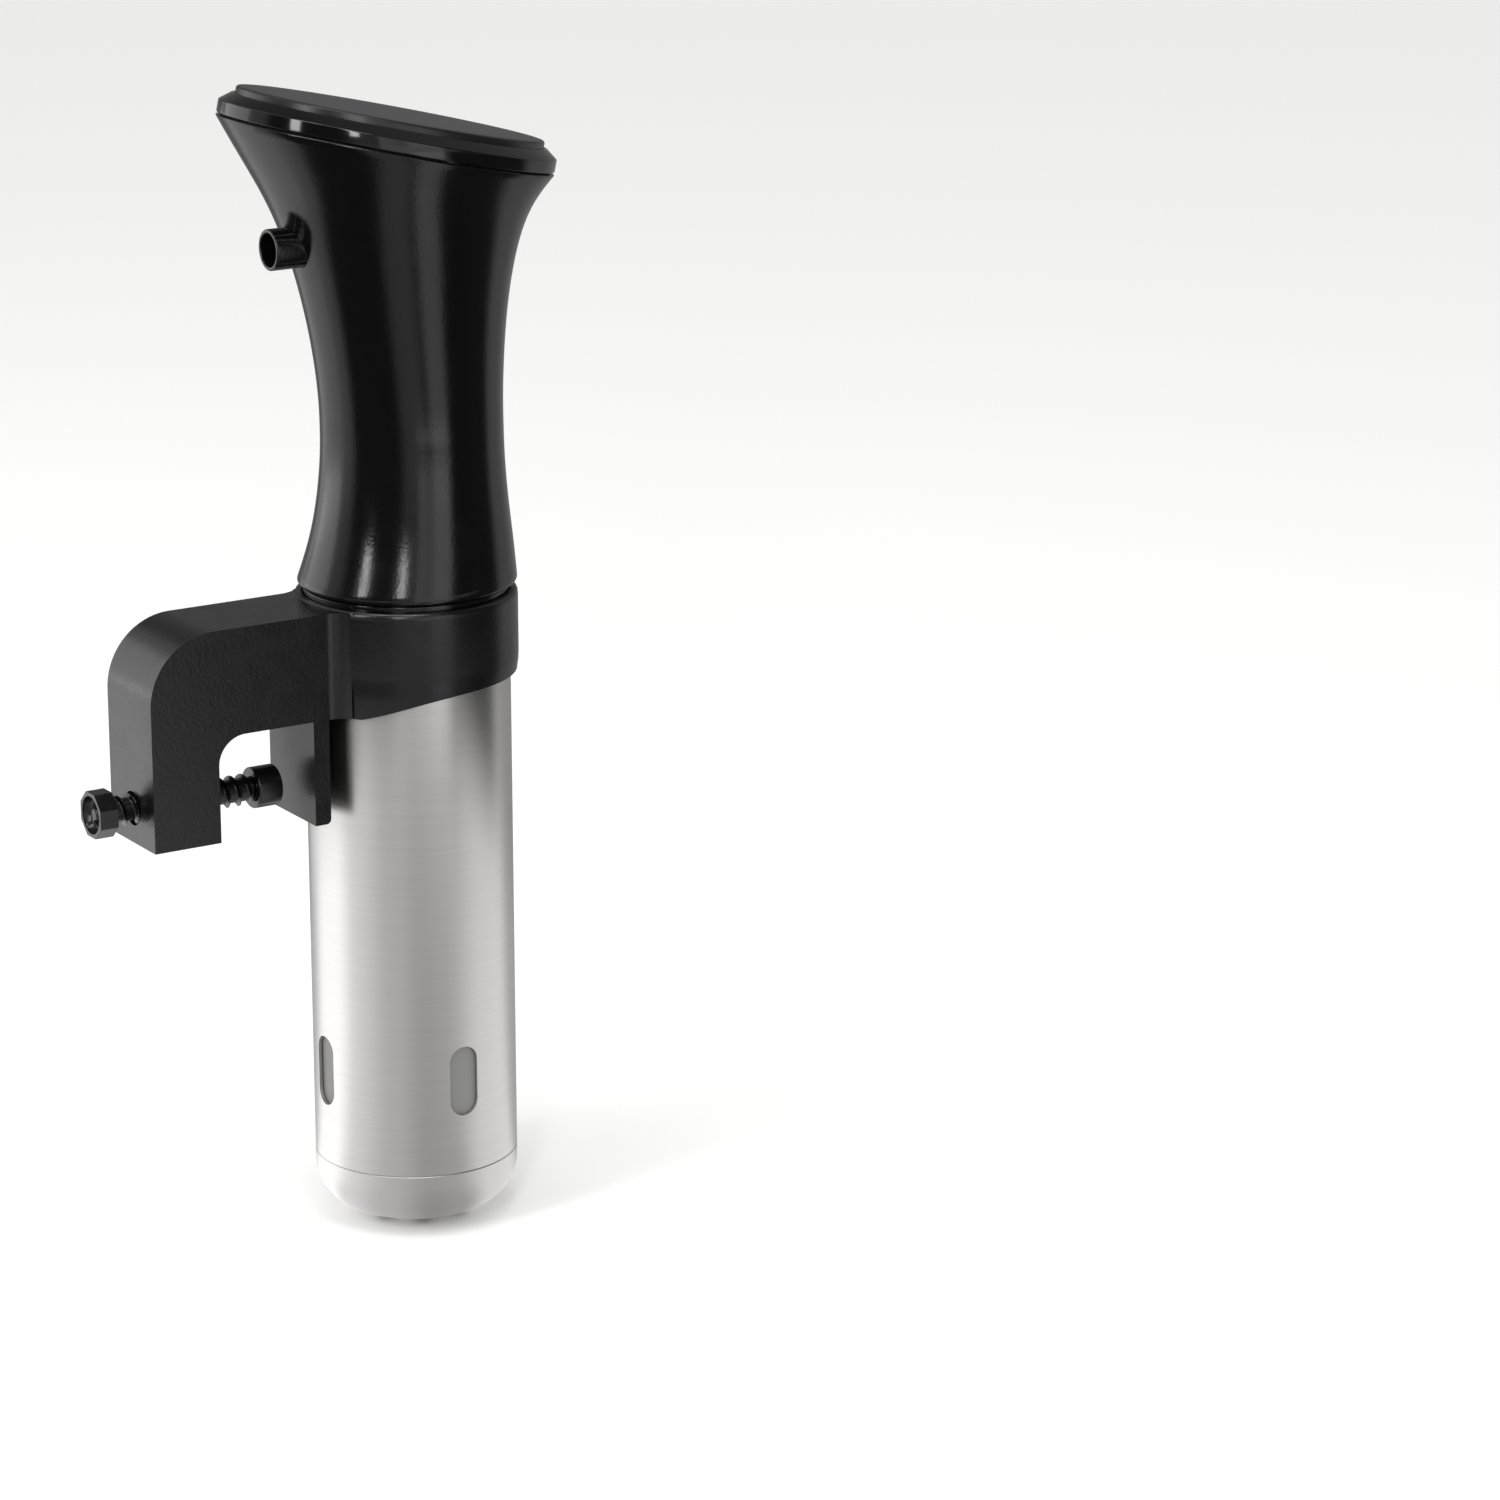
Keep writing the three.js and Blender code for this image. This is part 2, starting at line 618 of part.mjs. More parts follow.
function endCap() {
  const spigot = SLEEVE_RADIUS - SLEEVE_WALL - GAP;
  const groove = -166.6;
  const floor = CAP_BOTTOM + CAP_DISH;
  const inner = SLEEVE_RADIUS - CAP_WALL - 2.5;
  const cap = turned([
    [0, CAP_BOTTOM],
    [8, CAP_BOTTOM + 0.35],
    ...cornerArc(SLEEVE_RADIUS, CAP_CORNER, floor).reverse(),
    [SLEEVE_RADIUS, SLEEVE_BOTTOM - GAP],
    [spigot, SLEEVE_BOTTOM - GAP],
    [spigot, groove - GROOVE.half],
    [GROOVE.bottom, groove - GROOVE.half],
    [GROOVE.bottom, groove + GROOVE.half],
    [spigot, groove + GROOVE.half],
    [spigot, CAP_SPIGOT_TOP],
    [inner, CAP_SPIGOT_TOP],
    ...cornerArc(inner, 10, floor + CAP_WALL),
    [0, floor + CAP_WALL - 0.8],
  ]);
  const holes = Array.from({ length: CAP_HOLES.count }, (_, i) => {
    const at = polar(CAP_HOLES.circle, (360 * i) / CAP_HOLES.count + 22.5);
    return bar(CAP_HOLES.radius, CAP_BOTTOM - 2, -180, 10).translate(at.x, at.y, 0);
  });
  return cut(cap, ...holes);
}

const screenOuter = SLEEVE_RADIUS - SLEEVE_WALL - GAP;
add(unit, "steel_sleeve", steelSleeve(), brushedSteel());
add(unit, "slot_screen", tube(screenOuter - 0.7, screenOuter, -157.5, -128), greyPlastic());
add(unit, "pump_plate", tube(13, screenOuter, -161.4, -159.4), greyPlastic());
add(unit, "impeller", impeller(), greyPlastic());
add(unit, "end_cap", endCap(), satinSteel());
add(unit, "cap_seal", sealRing(-166.6), redRubber());

// ---------------------------------------------------------------- clamp
// The side view of the arm, its leg and its inner jaw.
function armOutline() {
  const outline = new THREE.Shape();
  outline.moveTo(-28, ARM_TOP);
  outline.lineTo(LEG_OUTER + ARM_CORNER, ARM_TOP);
  outline.absarc(LEG_OUTER + ARM_CORNER, ARM_TOP - ARM_CORNER, ARM_CORNER, Math.PI / 2, Math.PI);
  outline.lineTo(LEG_OUTER, LEG_BOTTOM);
  outline.lineTo(LEG_INNER, LEG_BOTTOM);
  outline.lineTo(LEG_INNER, ARM_UNDERSIDE - LEG_FILLET);
  outline.absarc(
    LEG_INNER + LEG_FILLET,
    ARM_UNDERSIDE - LEG_FILLET,
    LEG_FILLET,
    Math.PI,
    Math.PI / 2,
    true,
  );
  outline.lineTo(JAW_OUTER, ARM_UNDERSIDE);
  outline.lineTo(JAW_OUTER, LEG_BOTTOM);
  outline.lineTo(JAW_INNER - 1.5, LEG_BOTTOM);
  outline.lineTo(JAW_INNER, LEG_BOTTOM + 1.5);
  outline.lineTo(JAW_INNER, ARM_UNDERSIDE);
  outline.lineTo(-28, ARM_UNDERSIDE);
  return outline;
}

// The plan of the arm's root, with a fillet to the ring on each side.
function rootPlan() {
  const side = ARM_WIDTH / 2;
  const reach = RING_RADIUS + RING_FILLET;
  const centreY = side + RING_FILLET;
  const centreX = -Math.sqrt(reach ** 2 - centreY ** 2);
  const meet = Math.atan2(-centreY, -centreX);
  const plan = new THREE.Shape();
  plan.moveTo(centreX - 2, -side);
  plan.absarc(centreX, -centreY, RING_FILLET, Math.PI / 2, -meet, true);
  plan.lineTo(-20, 0);
  plan.absarc(centreX, centreY, RING_FILLET, meet, -Math.PI / 2, true);
  plan.lineTo(centreX - 2, side);
  return plan;
}

// What is cut away under the ring: its lower edge runs level, then sweeps down to the arm.
function underRing() {
  const edge = new THREE.SplineCurve(
    [[-24.5, ARM_UNDERSIDE], [-18, -28.8], [-10, -26.2], [4, -24.5], [36, RING_LOW_EDGE]].map(
      ([x, z]) => new THREE.Vector2(x, z),
    ),
  );
  const space = new THREE.Shape(edge.getPoints(14));
  space.lineTo(36, -50);
  space.lineTo(-24.5, -50);
  return sidePlate(space, 90);
}

function clampBracket() {
  const edge = 0.6;
  const ring = turned([
    [28, ARM_UNDERSIDE],
    [RING_RADIUS + 0.3, ARM_UNDERSIDE],
    [RING_RADIUS + 0.3, -20],
    [RING_RADIUS - 0.2, -edge],
    [RING_RADIUS - 0.2 - edge, 0],
    [28, 0],
  ]);
  const arm = sidePlate(armOutline(), ARM_WIDTH);
  const root = upright(rootPlan(), ARM_UNDERSIDE, ARM_TOP);
  const bore = bar(RING_BORE, -80, 10, ROUND);
  const thread = bar(SCREW.bore, 0, 40, 20).rotateY(-Math.PI / 2).translate(-60, 0, SCREW.height);
  return cut(join(ring, arm, root), bore, underRing(), thread);
}

// The hand screw, turned about x: a bar with a round coarse thread, a neck and a ball at its tip.
function clampScrew() {
  const [start, threadEnd, neckEnd] = [KNOB.back - 1.8, FOOT.back - 1.2, FOOT.back + 2];
  const around = 10;
  const rowsPerTurn = 5;
  const rows = Math.round(((threadEnd - start) / SCREW.pitch) * rowsPerTurn);
  const rings = [];
  for (let row = 0; row <= rows; row += 1) {
    const x = start + ((threadEnd - start) * row) / rows;
    const isEnd = row === 0 || row === rows || x < KNOB.back + 1;
    rings.push(
      Array.from({ length: around }, (_, i) => {
        const turn = (2 * Math.PI * i) / around;
        const phase = (2 * Math.PI * (x - start)) / SCREW.pitch - turn;
        const bead = isEnd ? 0 : Math.max(0, Math.cos(phase)) ** 1.5;
        const radius = SCREW.core + (SCREW.crest - SCREW.core) * bead;
        return new THREE.Vector3(x, radius * Math.cos(turn), radius * Math.sin(turn));
      }),
    );
  }
  const bulge = (x, radius) =>
    Array.from({ length: around }, (_, i) => {
      const turn = (2 * Math.PI * i) / around;
      return new THREE.Vector3(x, radius * Math.cos(turn), radius * Math.sin(turn));
    });
  rings.push(bulge(threadEnd, 2.3), bulge(neckEnd, 2.3), bulge(neckEnd, 3.2));
  rings.push(bulge(neckEnd + 3, 3.2), bulge(neckEnd + 4.2, 2), bulge(neckEnd + 4.2, 0.01));
  rings.unshift(bulge(start, 0.01));
  return ringLoop(rings);
}

function clampKnob() {
  const length = KNOB.back - KNOB.front;
  const octagon = new THREE.Shape(
    Array.from({ length: 8 }, (_, i) => {
      const at = polar(KNOB.corner, 22.5 + 45 * i);
      return new THREE.Vector2(at.x, at.y);
    }),
  );
  const blank = upright(octagon, 0, length);
  const cup = bar(KNOB.cup, length - KNOB.cupDepth, length + 1, 24);
  const socket = bar(SCREW.core + GAP, -1, 2.1, 20);
  const bump = bar(1.8, length - KNOB.cupDepth - 0.4, length - 1.1, 12);
  return join(cut(blank, cup, socket), bump).rotateY(-Math.PI / 2);
}

const footLength = FOOT.face - FOOT.back;
const socketDepth = footLength - 1.2;
const clampFoot = turned(
  [
    [0, socketDepth],
    [3.6, socketDepth],
    [3.6, 1.6],
    [2.7, 1.6],
    [2.7, 0],
    [FOOT.radius - 0.5, 0],
    [FOOT.radius, 0.5],
    [FOOT.radius, footLength - 0.5],
    [FOOT.radius - 0.5, footLength],
    [0, footLength],
  ],
  16,
).rotateY(Math.PI / 2);

add(unit, "clamp_bracket", clampBracket(), blackPlastic());
add(unit, "clamp_screw", clampScrew(), blackPlastic(), [0, 0, SCREW.height]);
add(unit, "clamp_knob", clampKnob(), blackPlastic(), [KNOB.back, 0, SCREW.height]);
add(unit, "clamp_foot", clampFoot, blackPlastic(), [FOOT.back, 0, SCREW.height]);

// ---------------------------------------------------------------- the whole object
const group = new THREE.Group();
unit.position.set(-(LEG_INNER + JAW_OUTER) / 2, 0, -ARM_UNDERSIDE);
group.add(unit);

export default group;
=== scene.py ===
"""Looks of a clamp-on sous vide circulator: head, heater sleeve, clamp and their finishes.

Shapes are drawn in millimetres in the circulator's own frame, whose vertical axis is the sleeve's
axis and whose height zero is the top of the clamp ring, and are placed where the frame says.
"""
import logging
import math
from collections.abc import Callable, Iterable, Sequence
from dataclasses import dataclass
from enum import Enum

import bmesh
import bpy
from mathutils import Matrix, Vector


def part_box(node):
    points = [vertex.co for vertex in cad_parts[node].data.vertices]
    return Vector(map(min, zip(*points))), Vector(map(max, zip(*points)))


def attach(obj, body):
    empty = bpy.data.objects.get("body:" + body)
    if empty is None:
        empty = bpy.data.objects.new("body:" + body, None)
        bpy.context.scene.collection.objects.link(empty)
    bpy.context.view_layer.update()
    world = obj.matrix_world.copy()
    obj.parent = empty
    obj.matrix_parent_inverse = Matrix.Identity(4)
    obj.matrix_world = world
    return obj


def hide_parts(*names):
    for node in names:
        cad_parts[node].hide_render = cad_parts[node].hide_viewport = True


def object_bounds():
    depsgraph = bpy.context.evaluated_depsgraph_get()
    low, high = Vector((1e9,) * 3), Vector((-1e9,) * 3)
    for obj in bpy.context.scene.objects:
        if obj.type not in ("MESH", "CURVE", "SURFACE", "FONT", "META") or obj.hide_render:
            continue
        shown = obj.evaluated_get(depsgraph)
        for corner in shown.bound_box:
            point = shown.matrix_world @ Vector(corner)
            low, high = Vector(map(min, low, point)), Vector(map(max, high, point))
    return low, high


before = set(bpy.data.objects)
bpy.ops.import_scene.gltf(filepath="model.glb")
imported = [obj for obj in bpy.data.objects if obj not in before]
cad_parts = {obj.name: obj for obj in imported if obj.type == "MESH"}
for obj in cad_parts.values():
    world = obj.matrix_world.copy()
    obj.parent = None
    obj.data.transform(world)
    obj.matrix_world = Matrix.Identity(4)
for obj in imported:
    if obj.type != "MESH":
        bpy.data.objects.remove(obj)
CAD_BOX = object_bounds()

logging.basicConfig(level=logging.INFO, format="%(message)s")
LOG = logging.getLogger("circulator")

MM = 0.001
FINE = 160  # points round a large turned piece
MEDIUM = 64  # points round a small turned piece
SHARP = 32.0  # degrees of bend above which an edge is left sharp
BRIGHTEST_PAINTED_REFLECTION = 2.0  # brightest level of the painted reflection that gloss sees in the floor and sky

Point2 = tuple[float, float]
# A painted reflection: angle and level of each pale or dark band round the object.
PaintedReflection = tuple[Point2, ...]
Ring = list[Vector]
Lift = Callable[[float, float, float], Vector]
Item, Tree, Socket = bpy.types.Object, bpy.types.NodeTree, bpy.types.NodeSocket


# ------------------------------------------------------------------ frame
def unit_origin() -> Vector:
    """Return the place of the sleeve's axis at the height of the clamp ring's top.

    Returns:
        The place, in metres.
    """
    low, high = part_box("steel_sleeve")
    ring_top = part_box("clamp_bracket")[1].z
    return Vector(((low.x + high.x) / 2, (low.y + high.y) / 2, ring_top))


ORIGIN = unit_origin()


def in_unit(node: str) -> tuple[Vector, Vector]:
    """Return a node's lowest and highest corners in millimetres, in the circulator's own frame."""
    low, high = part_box(node)
    return (low - ORIGIN) / MM, (high - ORIGIN) / MM


# ------------------------------------------------------------------ colours and nodes
def linear(hex_colour: int) -> tuple[float, float, float, float]:
    """Turn an sRGB hex colour into linear values.

    Args:
        hex_colour: Colour such as 0x808080.

    Returns:
        Red, green, blue and an alpha of one.
    """
    channels = [((hex_colour >> shift) & 0xFF) / 255 for shift in (16, 8, 0)]
    values = [c / 12.92 if c <= 0.04045 else ((c + 0.055) / 1.055) ** 2.4 for c in channels]
    return (*values, 1.0)


def add_node(
    tree: Tree,
    kind: str,
    settings: dict[str, object] | None = None,
    values: dict[str | int, object] | None = None,
    links: dict[str | int, Socket] | None = None,
) -> bpy.types.Node:
    """Add a node with its settings, socket values and incoming links.

    Args:
        tree: Node tree that takes the node.
        kind: Name of the node's type.
        settings: Properties of the node.
        values: Constant values by input socket.
        links: Output sockets by the input socket they feed.

    Returns:
        The new node.
    """
    node = tree.nodes.new(kind)
    for name, value in (settings or {}).items():
        setattr(node, name, value)
    for socket, value in (values or {}).items():
        node.inputs[socket].default_value = value
    for socket, source in (links or {}).items():
        tree.links.new(source, node.inputs[socket])
    return node


# ------------------------------------------------------------------ finishes
class Grain(Enum):
    """How a surface's fine texture runs."""

    NONE = "none"
    SPARK_ERODED = "spark eroded"
    BRUSHED_AROUND = "brushed around the axis"
    LAMINATED = "stacked sheets"
    SOLDER_MASK = "solder mask"


@dataclass(frozen=True)
class Finish:
    """One finish: a real material and how its surface was made.

    Attributes:
        name: Name of the material.
        colour: sRGB colour of its body, or of the metal.
        roughness: Roughness of the shader.
        metallic: One for a metal.
        ior: Index of refraction of a plastic or rubber; a metal keeps the default.
        grain: Kind of fine texture.
        grain_mm: Spacing of the texture, coarser than the real one where a comment says so.
        depth_mm: Height of the texture.
        mottle: How far the roughness wanders over the surface.
        anisotropy: How far the texture stretches a highlight.
    """

    name: str
    colour: int
    roughness: float
    metallic: float = 0.0
    ior: float = 1.5
    grain: Grain = Grain.NONE
    grain_mm: float = 1.0
    depth_mm: float = 0.0
    mottle: float = 0.0
    anisotropy: float = 0.0

    def material(self) -> bpy.types.Material:
        """Return the finish as a material, made on first use."""
        known = bpy.data.materials.get(self.name)
        return known if known else self._make()

    def _make(self) -> bpy.types.Material:
        """Build the shader: body, wandering roughness and fine texture.

        Returns:
            The new material.
        """
        material = bpy.data.materials.new(self.name)
        material.use_nodes = True
        tree = material.node_tree
        tree.nodes.clear()
        values: dict[str | int, object] = {
            "Base Color": linear(self.colour),
            "Roughness": self.roughness,
            "Metallic": self.metallic,
            "Anisotropic": self.anisotropy,
            "Anisotropic Rotation": 0.25,
        }
        if not self.metallic:
            values["IOR"] = self.ior
        shader = add_node(tree, "ShaderNodeBsdfPrincipled", values=values)
        place = add_node(tree, "ShaderNodeTexCoord").outputs["Object"]
        if self.mottle:
            self._add_mottle(tree, shader, place)
        if self.grain is not Grain.NONE:
            self._add_grain(tree, shader, place)
        if self.anisotropy:
            around = add_node(
                tree, "ShaderNodeTangent", settings={"direction_type": "RADIAL", "axis": "Z"}
            )
            tree.links.new(around.outputs["Tangent"], shader.inputs["Tangent"])
        add_node(tree, "ShaderNodeOutputMaterial", links={"Surface": shader.outputs["BSDF"]})
        return material

    def _add_mottle(self, tree: Tree, shader: bpy.types.Node, place: Socket) -> None:
        """Let the roughness wander in patches some 6 mm wide, as handling and moulding leave it.

        Args:
            tree: Node tree of the material.
            shader: Shader whose roughness wanders.
            place: Place on the piece.
        """
        patches = add_node(
            tree,
            "ShaderNodeTexNoise",
            values={"Scale": 1 / (6 * MM), "Detail": 3.0},
            links={"Vector": place},
        )
        spread = add_node(
            tree,
            "ShaderNodeMapRange",
            values={
                "From Min": 0.35,
                "From Max": 0.65,
                "To Min": self.roughness - self.mottle,
                "To Max": self.roughness + self.mottle,
            },
            links={"Value": patches.outputs["Fac"]},
        )
        tree.links.new(spread.outputs["Result"], shader.inputs["Roughness"])

    def _pattern(self, tree: Tree, place: Socket) -> Socket:
        """Draw the fine texture.

        Args:
            tree: Node tree of the material.
            place: Place on the piece.

        Returns:
            The texture's height, from nought to one.
        """
        spacing = 1 / (self.grain_mm * MM)
        if self.grain is Grain.BRUSHED_AROUND:
            # Brush lines run round the tube: long around the axis, one grain apart along it.
            stretched = add_node(
                tree,
                "ShaderNodeMapping",
                values={"Scale": (0.02, 0.02, 1.0)},
                links={"Vector": place},
            )
            lines = add_node(
                tree,
                "ShaderNodeTexNoise",
                values={"Scale": spacing, "Detail": 4.0, "Roughness": 0.6},
                links={"Vector": stretched.outputs["Vector"]},
            )
            return lines.outputs["Fac"]
        if self.grain is Grain.LAMINATED:
            sheets = add_node(
                tree,
                "ShaderNodeTexWave",
                settings={"bands_direction": "Z"},
                values={"Scale": spacing / math.pi / 2, "Distortion": 0.0},
                links={"Vector": place},
            )
            return sheets.outputs["Fac"]
        grains = add_node(
            tree,
            "ShaderNodeTexNoise",
            values={"Scale": spacing, "Detail": 2.0, "Roughness": 0.55},
            links={"Vector": place},
        )
        return grains.outputs["Fac"]

    def _add_grain(self, tree: Tree, shader: bpy.types.Node, place: Socket) -> None:
        """Raise the fine texture and, where it changes the colour, tint it.

        Args:
            tree: Node tree of the material.
            shader: Shader that takes the relief and the tint.
            place: Place on the piece.
        """
        height = self._pattern(tree, place)
        bump = add_node(
            tree,
            "ShaderNodeBump",
            values={"Strength": 1.0, "Distance": self.depth_mm * MM},
            links={"Height": height},
        )
        tree.links.new(bump.outputs["Normal"], shader.inputs["Normal"])
        shade = {Grain.BRUSHED_AROUND: 0.86, Grain.SOLDER_MASK: 0.75}.get(self.grain)
        if shade:
            full = linear(self.colour)
            dark = (*[channel * shade for channel in full[:3]], 1.0)
            tint = add_node(
                tree,
                "ShaderNodeMix",
                settings={"data_type": "RGBA"},
                values={6: dark, 7: full},
                links={0: height},
            )
            tree.links.new(tint.outputs[2], shader.inputs["Base Color"])


# Black ABS moulded in a finely spark-eroded tool: nearly glossy, with a very small sparkle.
# The real grain is too fine to show, so it is drawn coarser, and deeper to match.
HEAD_ABS = Finish(
    "satin_black_abs_moulded", 0x070708, 0.16, ior=1.53, mottle=0.02,
    grain=Grain.SPARK_ERODED, grain_mm=0.9, depth_mm=0.035,
)
# The same ABS from a slightly coarser tool face: flatter, greyer highlights on the arm.
# Its grain is drawn coarser than real, so that it shows.
ARM_ABS = Finish(
    "textured_black_abs_moulded", 0x0A0A0B, 0.26, ior=1.53, mottle=0.03,
    grain=Grain.SPARK_ERODED, grain_mm=0.9, depth_mm=0.045,
)
# ABS from a polished tool: sharp mirror-like bands along the bezel's chamfer.
BEZEL_ABS = Finish("polished_black_abs_moulded", 0x080809, 0.09, ior=1.53)
# Hard-coated acrylic over the display, sprayed from behind: dark, even and softly satin.
# The grain of the coat is drawn coarser than real, so that it shows.
PANEL_ACRYLIC = Finish(
    "hard_coated_smoked_acrylic", 0x161617, 0.30, ior=1.49,
    grain=Grain.SPARK_ERODED, grain_mm=0.3, depth_mm=0.004,
)
# Glass-filled nylon of the hand screw and its foot: shiny skin, slightly uneven.
SCREW_NYLON = Finish(
    "black_glass_filled_nylon_moulded", 0x0B0B0C, 0.22, ior=1.53, mottle=0.04,
)
# Stainless tube brushed round its axis: fine level lines and a tall soft highlight.
# Real brush lines are too fine to show, so they are drawn coarser, 0.7 mm apart.
SLEEVE_STEEL = Finish(
    "stainless_steel_brushed_around", 0xDAD9D7, 0.34, metallic=1.0,
    grain=Grain.BRUSHED_AROUND, grain_mm=0.7, depth_mm=0.006, anisotropy=0.45,
)
# Deep-drawn stainless cup, bead blasted then tumbled: smooth satin without lines.
CAP_STEEL = Finish(
    "stainless_steel_satin_drawn", 0xD8D7D5, 0.36, metallic=1.0, mottle=0.02,
)
# Light grey moulded guard, plain and matt, seen through the slots.
SCREEN_POLYMER = Finish("light_grey_polypropylene_guard", 0x787876, 0.5, mottle=0.04)
# Polypropylene mouldings inside: plain mid grey, with a grain drawn coarser than real.
GREY_POLYMER = Finish(
    "grey_polypropylene_moulded", 0x9C9C9A, 0.5, mottle=0.04,
    grain=Grain.SPARK_ERODED, grain_mm=0.8, depth_mm=0.02,
)
# Zinc-plated pressed steel: bright, slightly blotched grey.
ZINC_STEEL = Finish("zinc_plated_steel", 0xA9ACAE, 0.38, metallic=1.0, mottle=0.08)
# Ground steel of the shaft and the bearings; its grinding lines are drawn coarser than real.
GROUND_STEEL = Finish(
    "ground_bearing_steel", 0xC2C2C0, 0.18, metallic=1.0, mottle=0.03,
    grain=Grain.BRUSHED_AROUND, grain_mm=0.5, depth_mm=0.003,
)
# Electropolished stainless heater tube, darkened by heat.
HEATER_STEEL = Finish("electropolished_stainless_tube", 0xA89F93, 0.26, metallic=1.0, mottle=0.08)
# Extruded aluminium heat sink, in its natural colour.
SINK_ALUMINIUM = Finish("extruded_aluminium", 0xB9BBBD, 0.34, metallic=1.0, mottle=0.05)
# Glass-fibre board under green solder mask: glossy green with darker tracks.
BOARD_FR4 = Finish(
    "green_solder_mask_board", 0x1F6A3C, 0.32, ior=1.55,
    grain=Grain.SOLDER_MASK, grain_mm=2.4, depth_mm=0.03,
)
# Stator laminations with enamelled copper: stacked sheets, drawn thicker than real to show.
STATOR_COPPER = Finish(
    "enamelled_copper_and_laminations", 0x9C5A2A, 0.36, metallic=1.0,
    grain=Grain.LAMINATED, grain_mm=1.0, depth_mm=0.08,
)
# Silicone seals: matte brick red.
SEAL_SILICONE = Finish("red_silicone_rubber", 0x8C3A2C, 0.55, ior=1.41, mottle=0.05)
# Nitrile gasket and motor damper: dull black, with a grain drawn coarser than real.
BLACK_NITRILE = Finish(
    "black_nitrile_rubber", 0x111111, 0.72, ior=1.52, mottle=0.05,
    grain=Grain.SPARK_ERODED, grain_mm=0.6, depth_mm=0.02,
)
# PTFE bush: waxy white.
BUSH_PTFE = Finish("white_ptfe_turned", 0xE4E2DA, 0.42, ior=1.38, mottle=0.05)
# Moulded cases of relay, capacitor, buzzer and display: plain black.
COMPONENT_CASE = Finish("black_epoxy_component_case", 0x151516, 0.45, mottle=0.05)

INNER_FINISHES: dict[Finish, tuple[str, ...]] = {
    GREY_POLYMER: ("board_carrier", "impeller", "pump_plate"),
    ZINC_STEEL: (
        "motor_can", "motor_cap", "motor_plate", "motor_screw_1", "motor_screw_2",
        "neck_screw_1", "neck_screw_2", "neck_screw_3", "board_screw_1", "board_screw_2",
        "display_screw_1", "display_screw_2", "display_screw_3", "display_screw_4",
        "touch_spring_1", "touch_spring_2", "touch_spring_3", "rotor_core",
    ),
    GROUND_STEEL: ("drive_shaft", "lower_bearing", "upper_bearing", "shaft_tube"),
    HEATER_STEEL: ("heater_coil", "temperature_probe", "level_probe_1", "level_probe_2"),
    SINK_ALUMINIUM: ("heat_sink",),
    BOARD_FR4: ("display_board", "main_board"),
    STATOR_COPPER: ("stator_stack",),
    SEAL_SILICONE: ("sleeve_seal", "cap_seal", "shaft_seal"),
    BLACK_NITRILE: ("damper_ring", "bezel_seal"),
    BUSH_PTFE: ("tube_bush",),
    COMPONENT_CASE: ("display_block", "buzzer", "power_relay", "filter_capacitor"),
}


# ------------------------------------------------------------------ outlines
def rounded(outline: Sequence[Point2], radii: dict[int, float], steps: int = 6) -> list[Point2]:
    """Round some corners of an open or closed outline.

    Args:
        outline: Corner points in order.
        radii: Radius by corner number; the other corners stay sharp.
        steps: Number of short lines in each rounded corner.

    Returns:
        The outline with arcs in place of those corners.
    """
    result: list[Point2] = []
    count = len(outline)
    for i, corner in enumerate(outline):
        radius = radii.get(i, 0.0)
        if not radius:
            result.append(corner)
            continue
        here = Vector(corner)
        to_last = (Vector(outline[i - 1]) - here).normalized()
        to_next = (Vector(outline[(i + 1) % count]) - here).normalized()
        half = to_last.angle(to_next) / 2
        reach = radius / math.tan(half)
        centre = here + (to_last + to_next).normalized() * (radius / math.sin(half))
        first, last = here + to_last * reach - centre, here + to_next * reach - centre
        turn = first.angle_signed(last)
        for k in range(steps + 1):
            spoke = Matrix.Rotation(-turn * k / steps, 2) @ first
            result.append(tuple(centre + spoke))
    return result


def arc(centre: Point2, radius: float, start: float, end: float, steps: int) -> list[Point2]:
    """Return points along an arc, with the angles in degrees."""
    angles = [math.radians(start + (end - start) * i / steps) for i in range(steps + 1)]
    return [(centre[0] + radius * math.cos(a), centre[1] + radius * math.sin(a)) for a in angles]


# ------------------------------------------------------------------ meshes
def make_object(
    name: str, points: Iterable[Vector], faces: Iterable[Sequence[int]], sharp: float = SHARP
) -> Item:
    """Make a smooth-shaded object from points in millimetres in the circulator's frame.

    Args:
        name: Name of the piece.
        points: Corner points.
        faces: Corner numbers of each face.
        sharp: Angle in degrees above which an edge stays sharp.

    Returns:
        The new object, at the frame's origin.
    """
    mesh = bpy.data.meshes.new(name)
    mesh.from_pydata([Vector(p) * MM + ORIGIN for p in points], [], list(faces))
    return finish_object(name, mesh, sharp)


def shade(mesh: bpy.types.Mesh, sharp: float) -> None:
    """Shade a mesh smooth, with edges bent by more than an angle in degrees left sharp."""
    mesh.shade_smooth()
    mesh.set_sharp_from_angle(angle=math.radians(sharp))


def finish_object(name: str, mesh: bpy.types.Mesh, sharp: float) -> Item:
    """Clean a mesh, face it outwards, shade it smooth and link it as an object.

    Args:
        name: Name of the piece.
        mesh: Mesh in metres.
        sharp: Angle in degrees above which an edge stays sharp.

    Returns:
        The new object.
    """
    work = bmesh.new()
    work.from_mesh(mesh)
    bmesh.ops.remove_doubles(work, verts=work.verts, dist=1e-7)
    bmesh.ops.recalc_face_normals(work, faces=work.faces)
    work.to_mesh(mesh)
    work.free()
    mesh.validate()
    shade(mesh, sharp)
    item = bpy.data.objects.new(name, mesh)
    bpy.context.scene.collection.objects.link(item)
    return item


def spokes(count: int) -> list[float]:
    """Return equal steps round a circle, in radians."""
    return [2 * math.pi * i / count for i in range(count)]


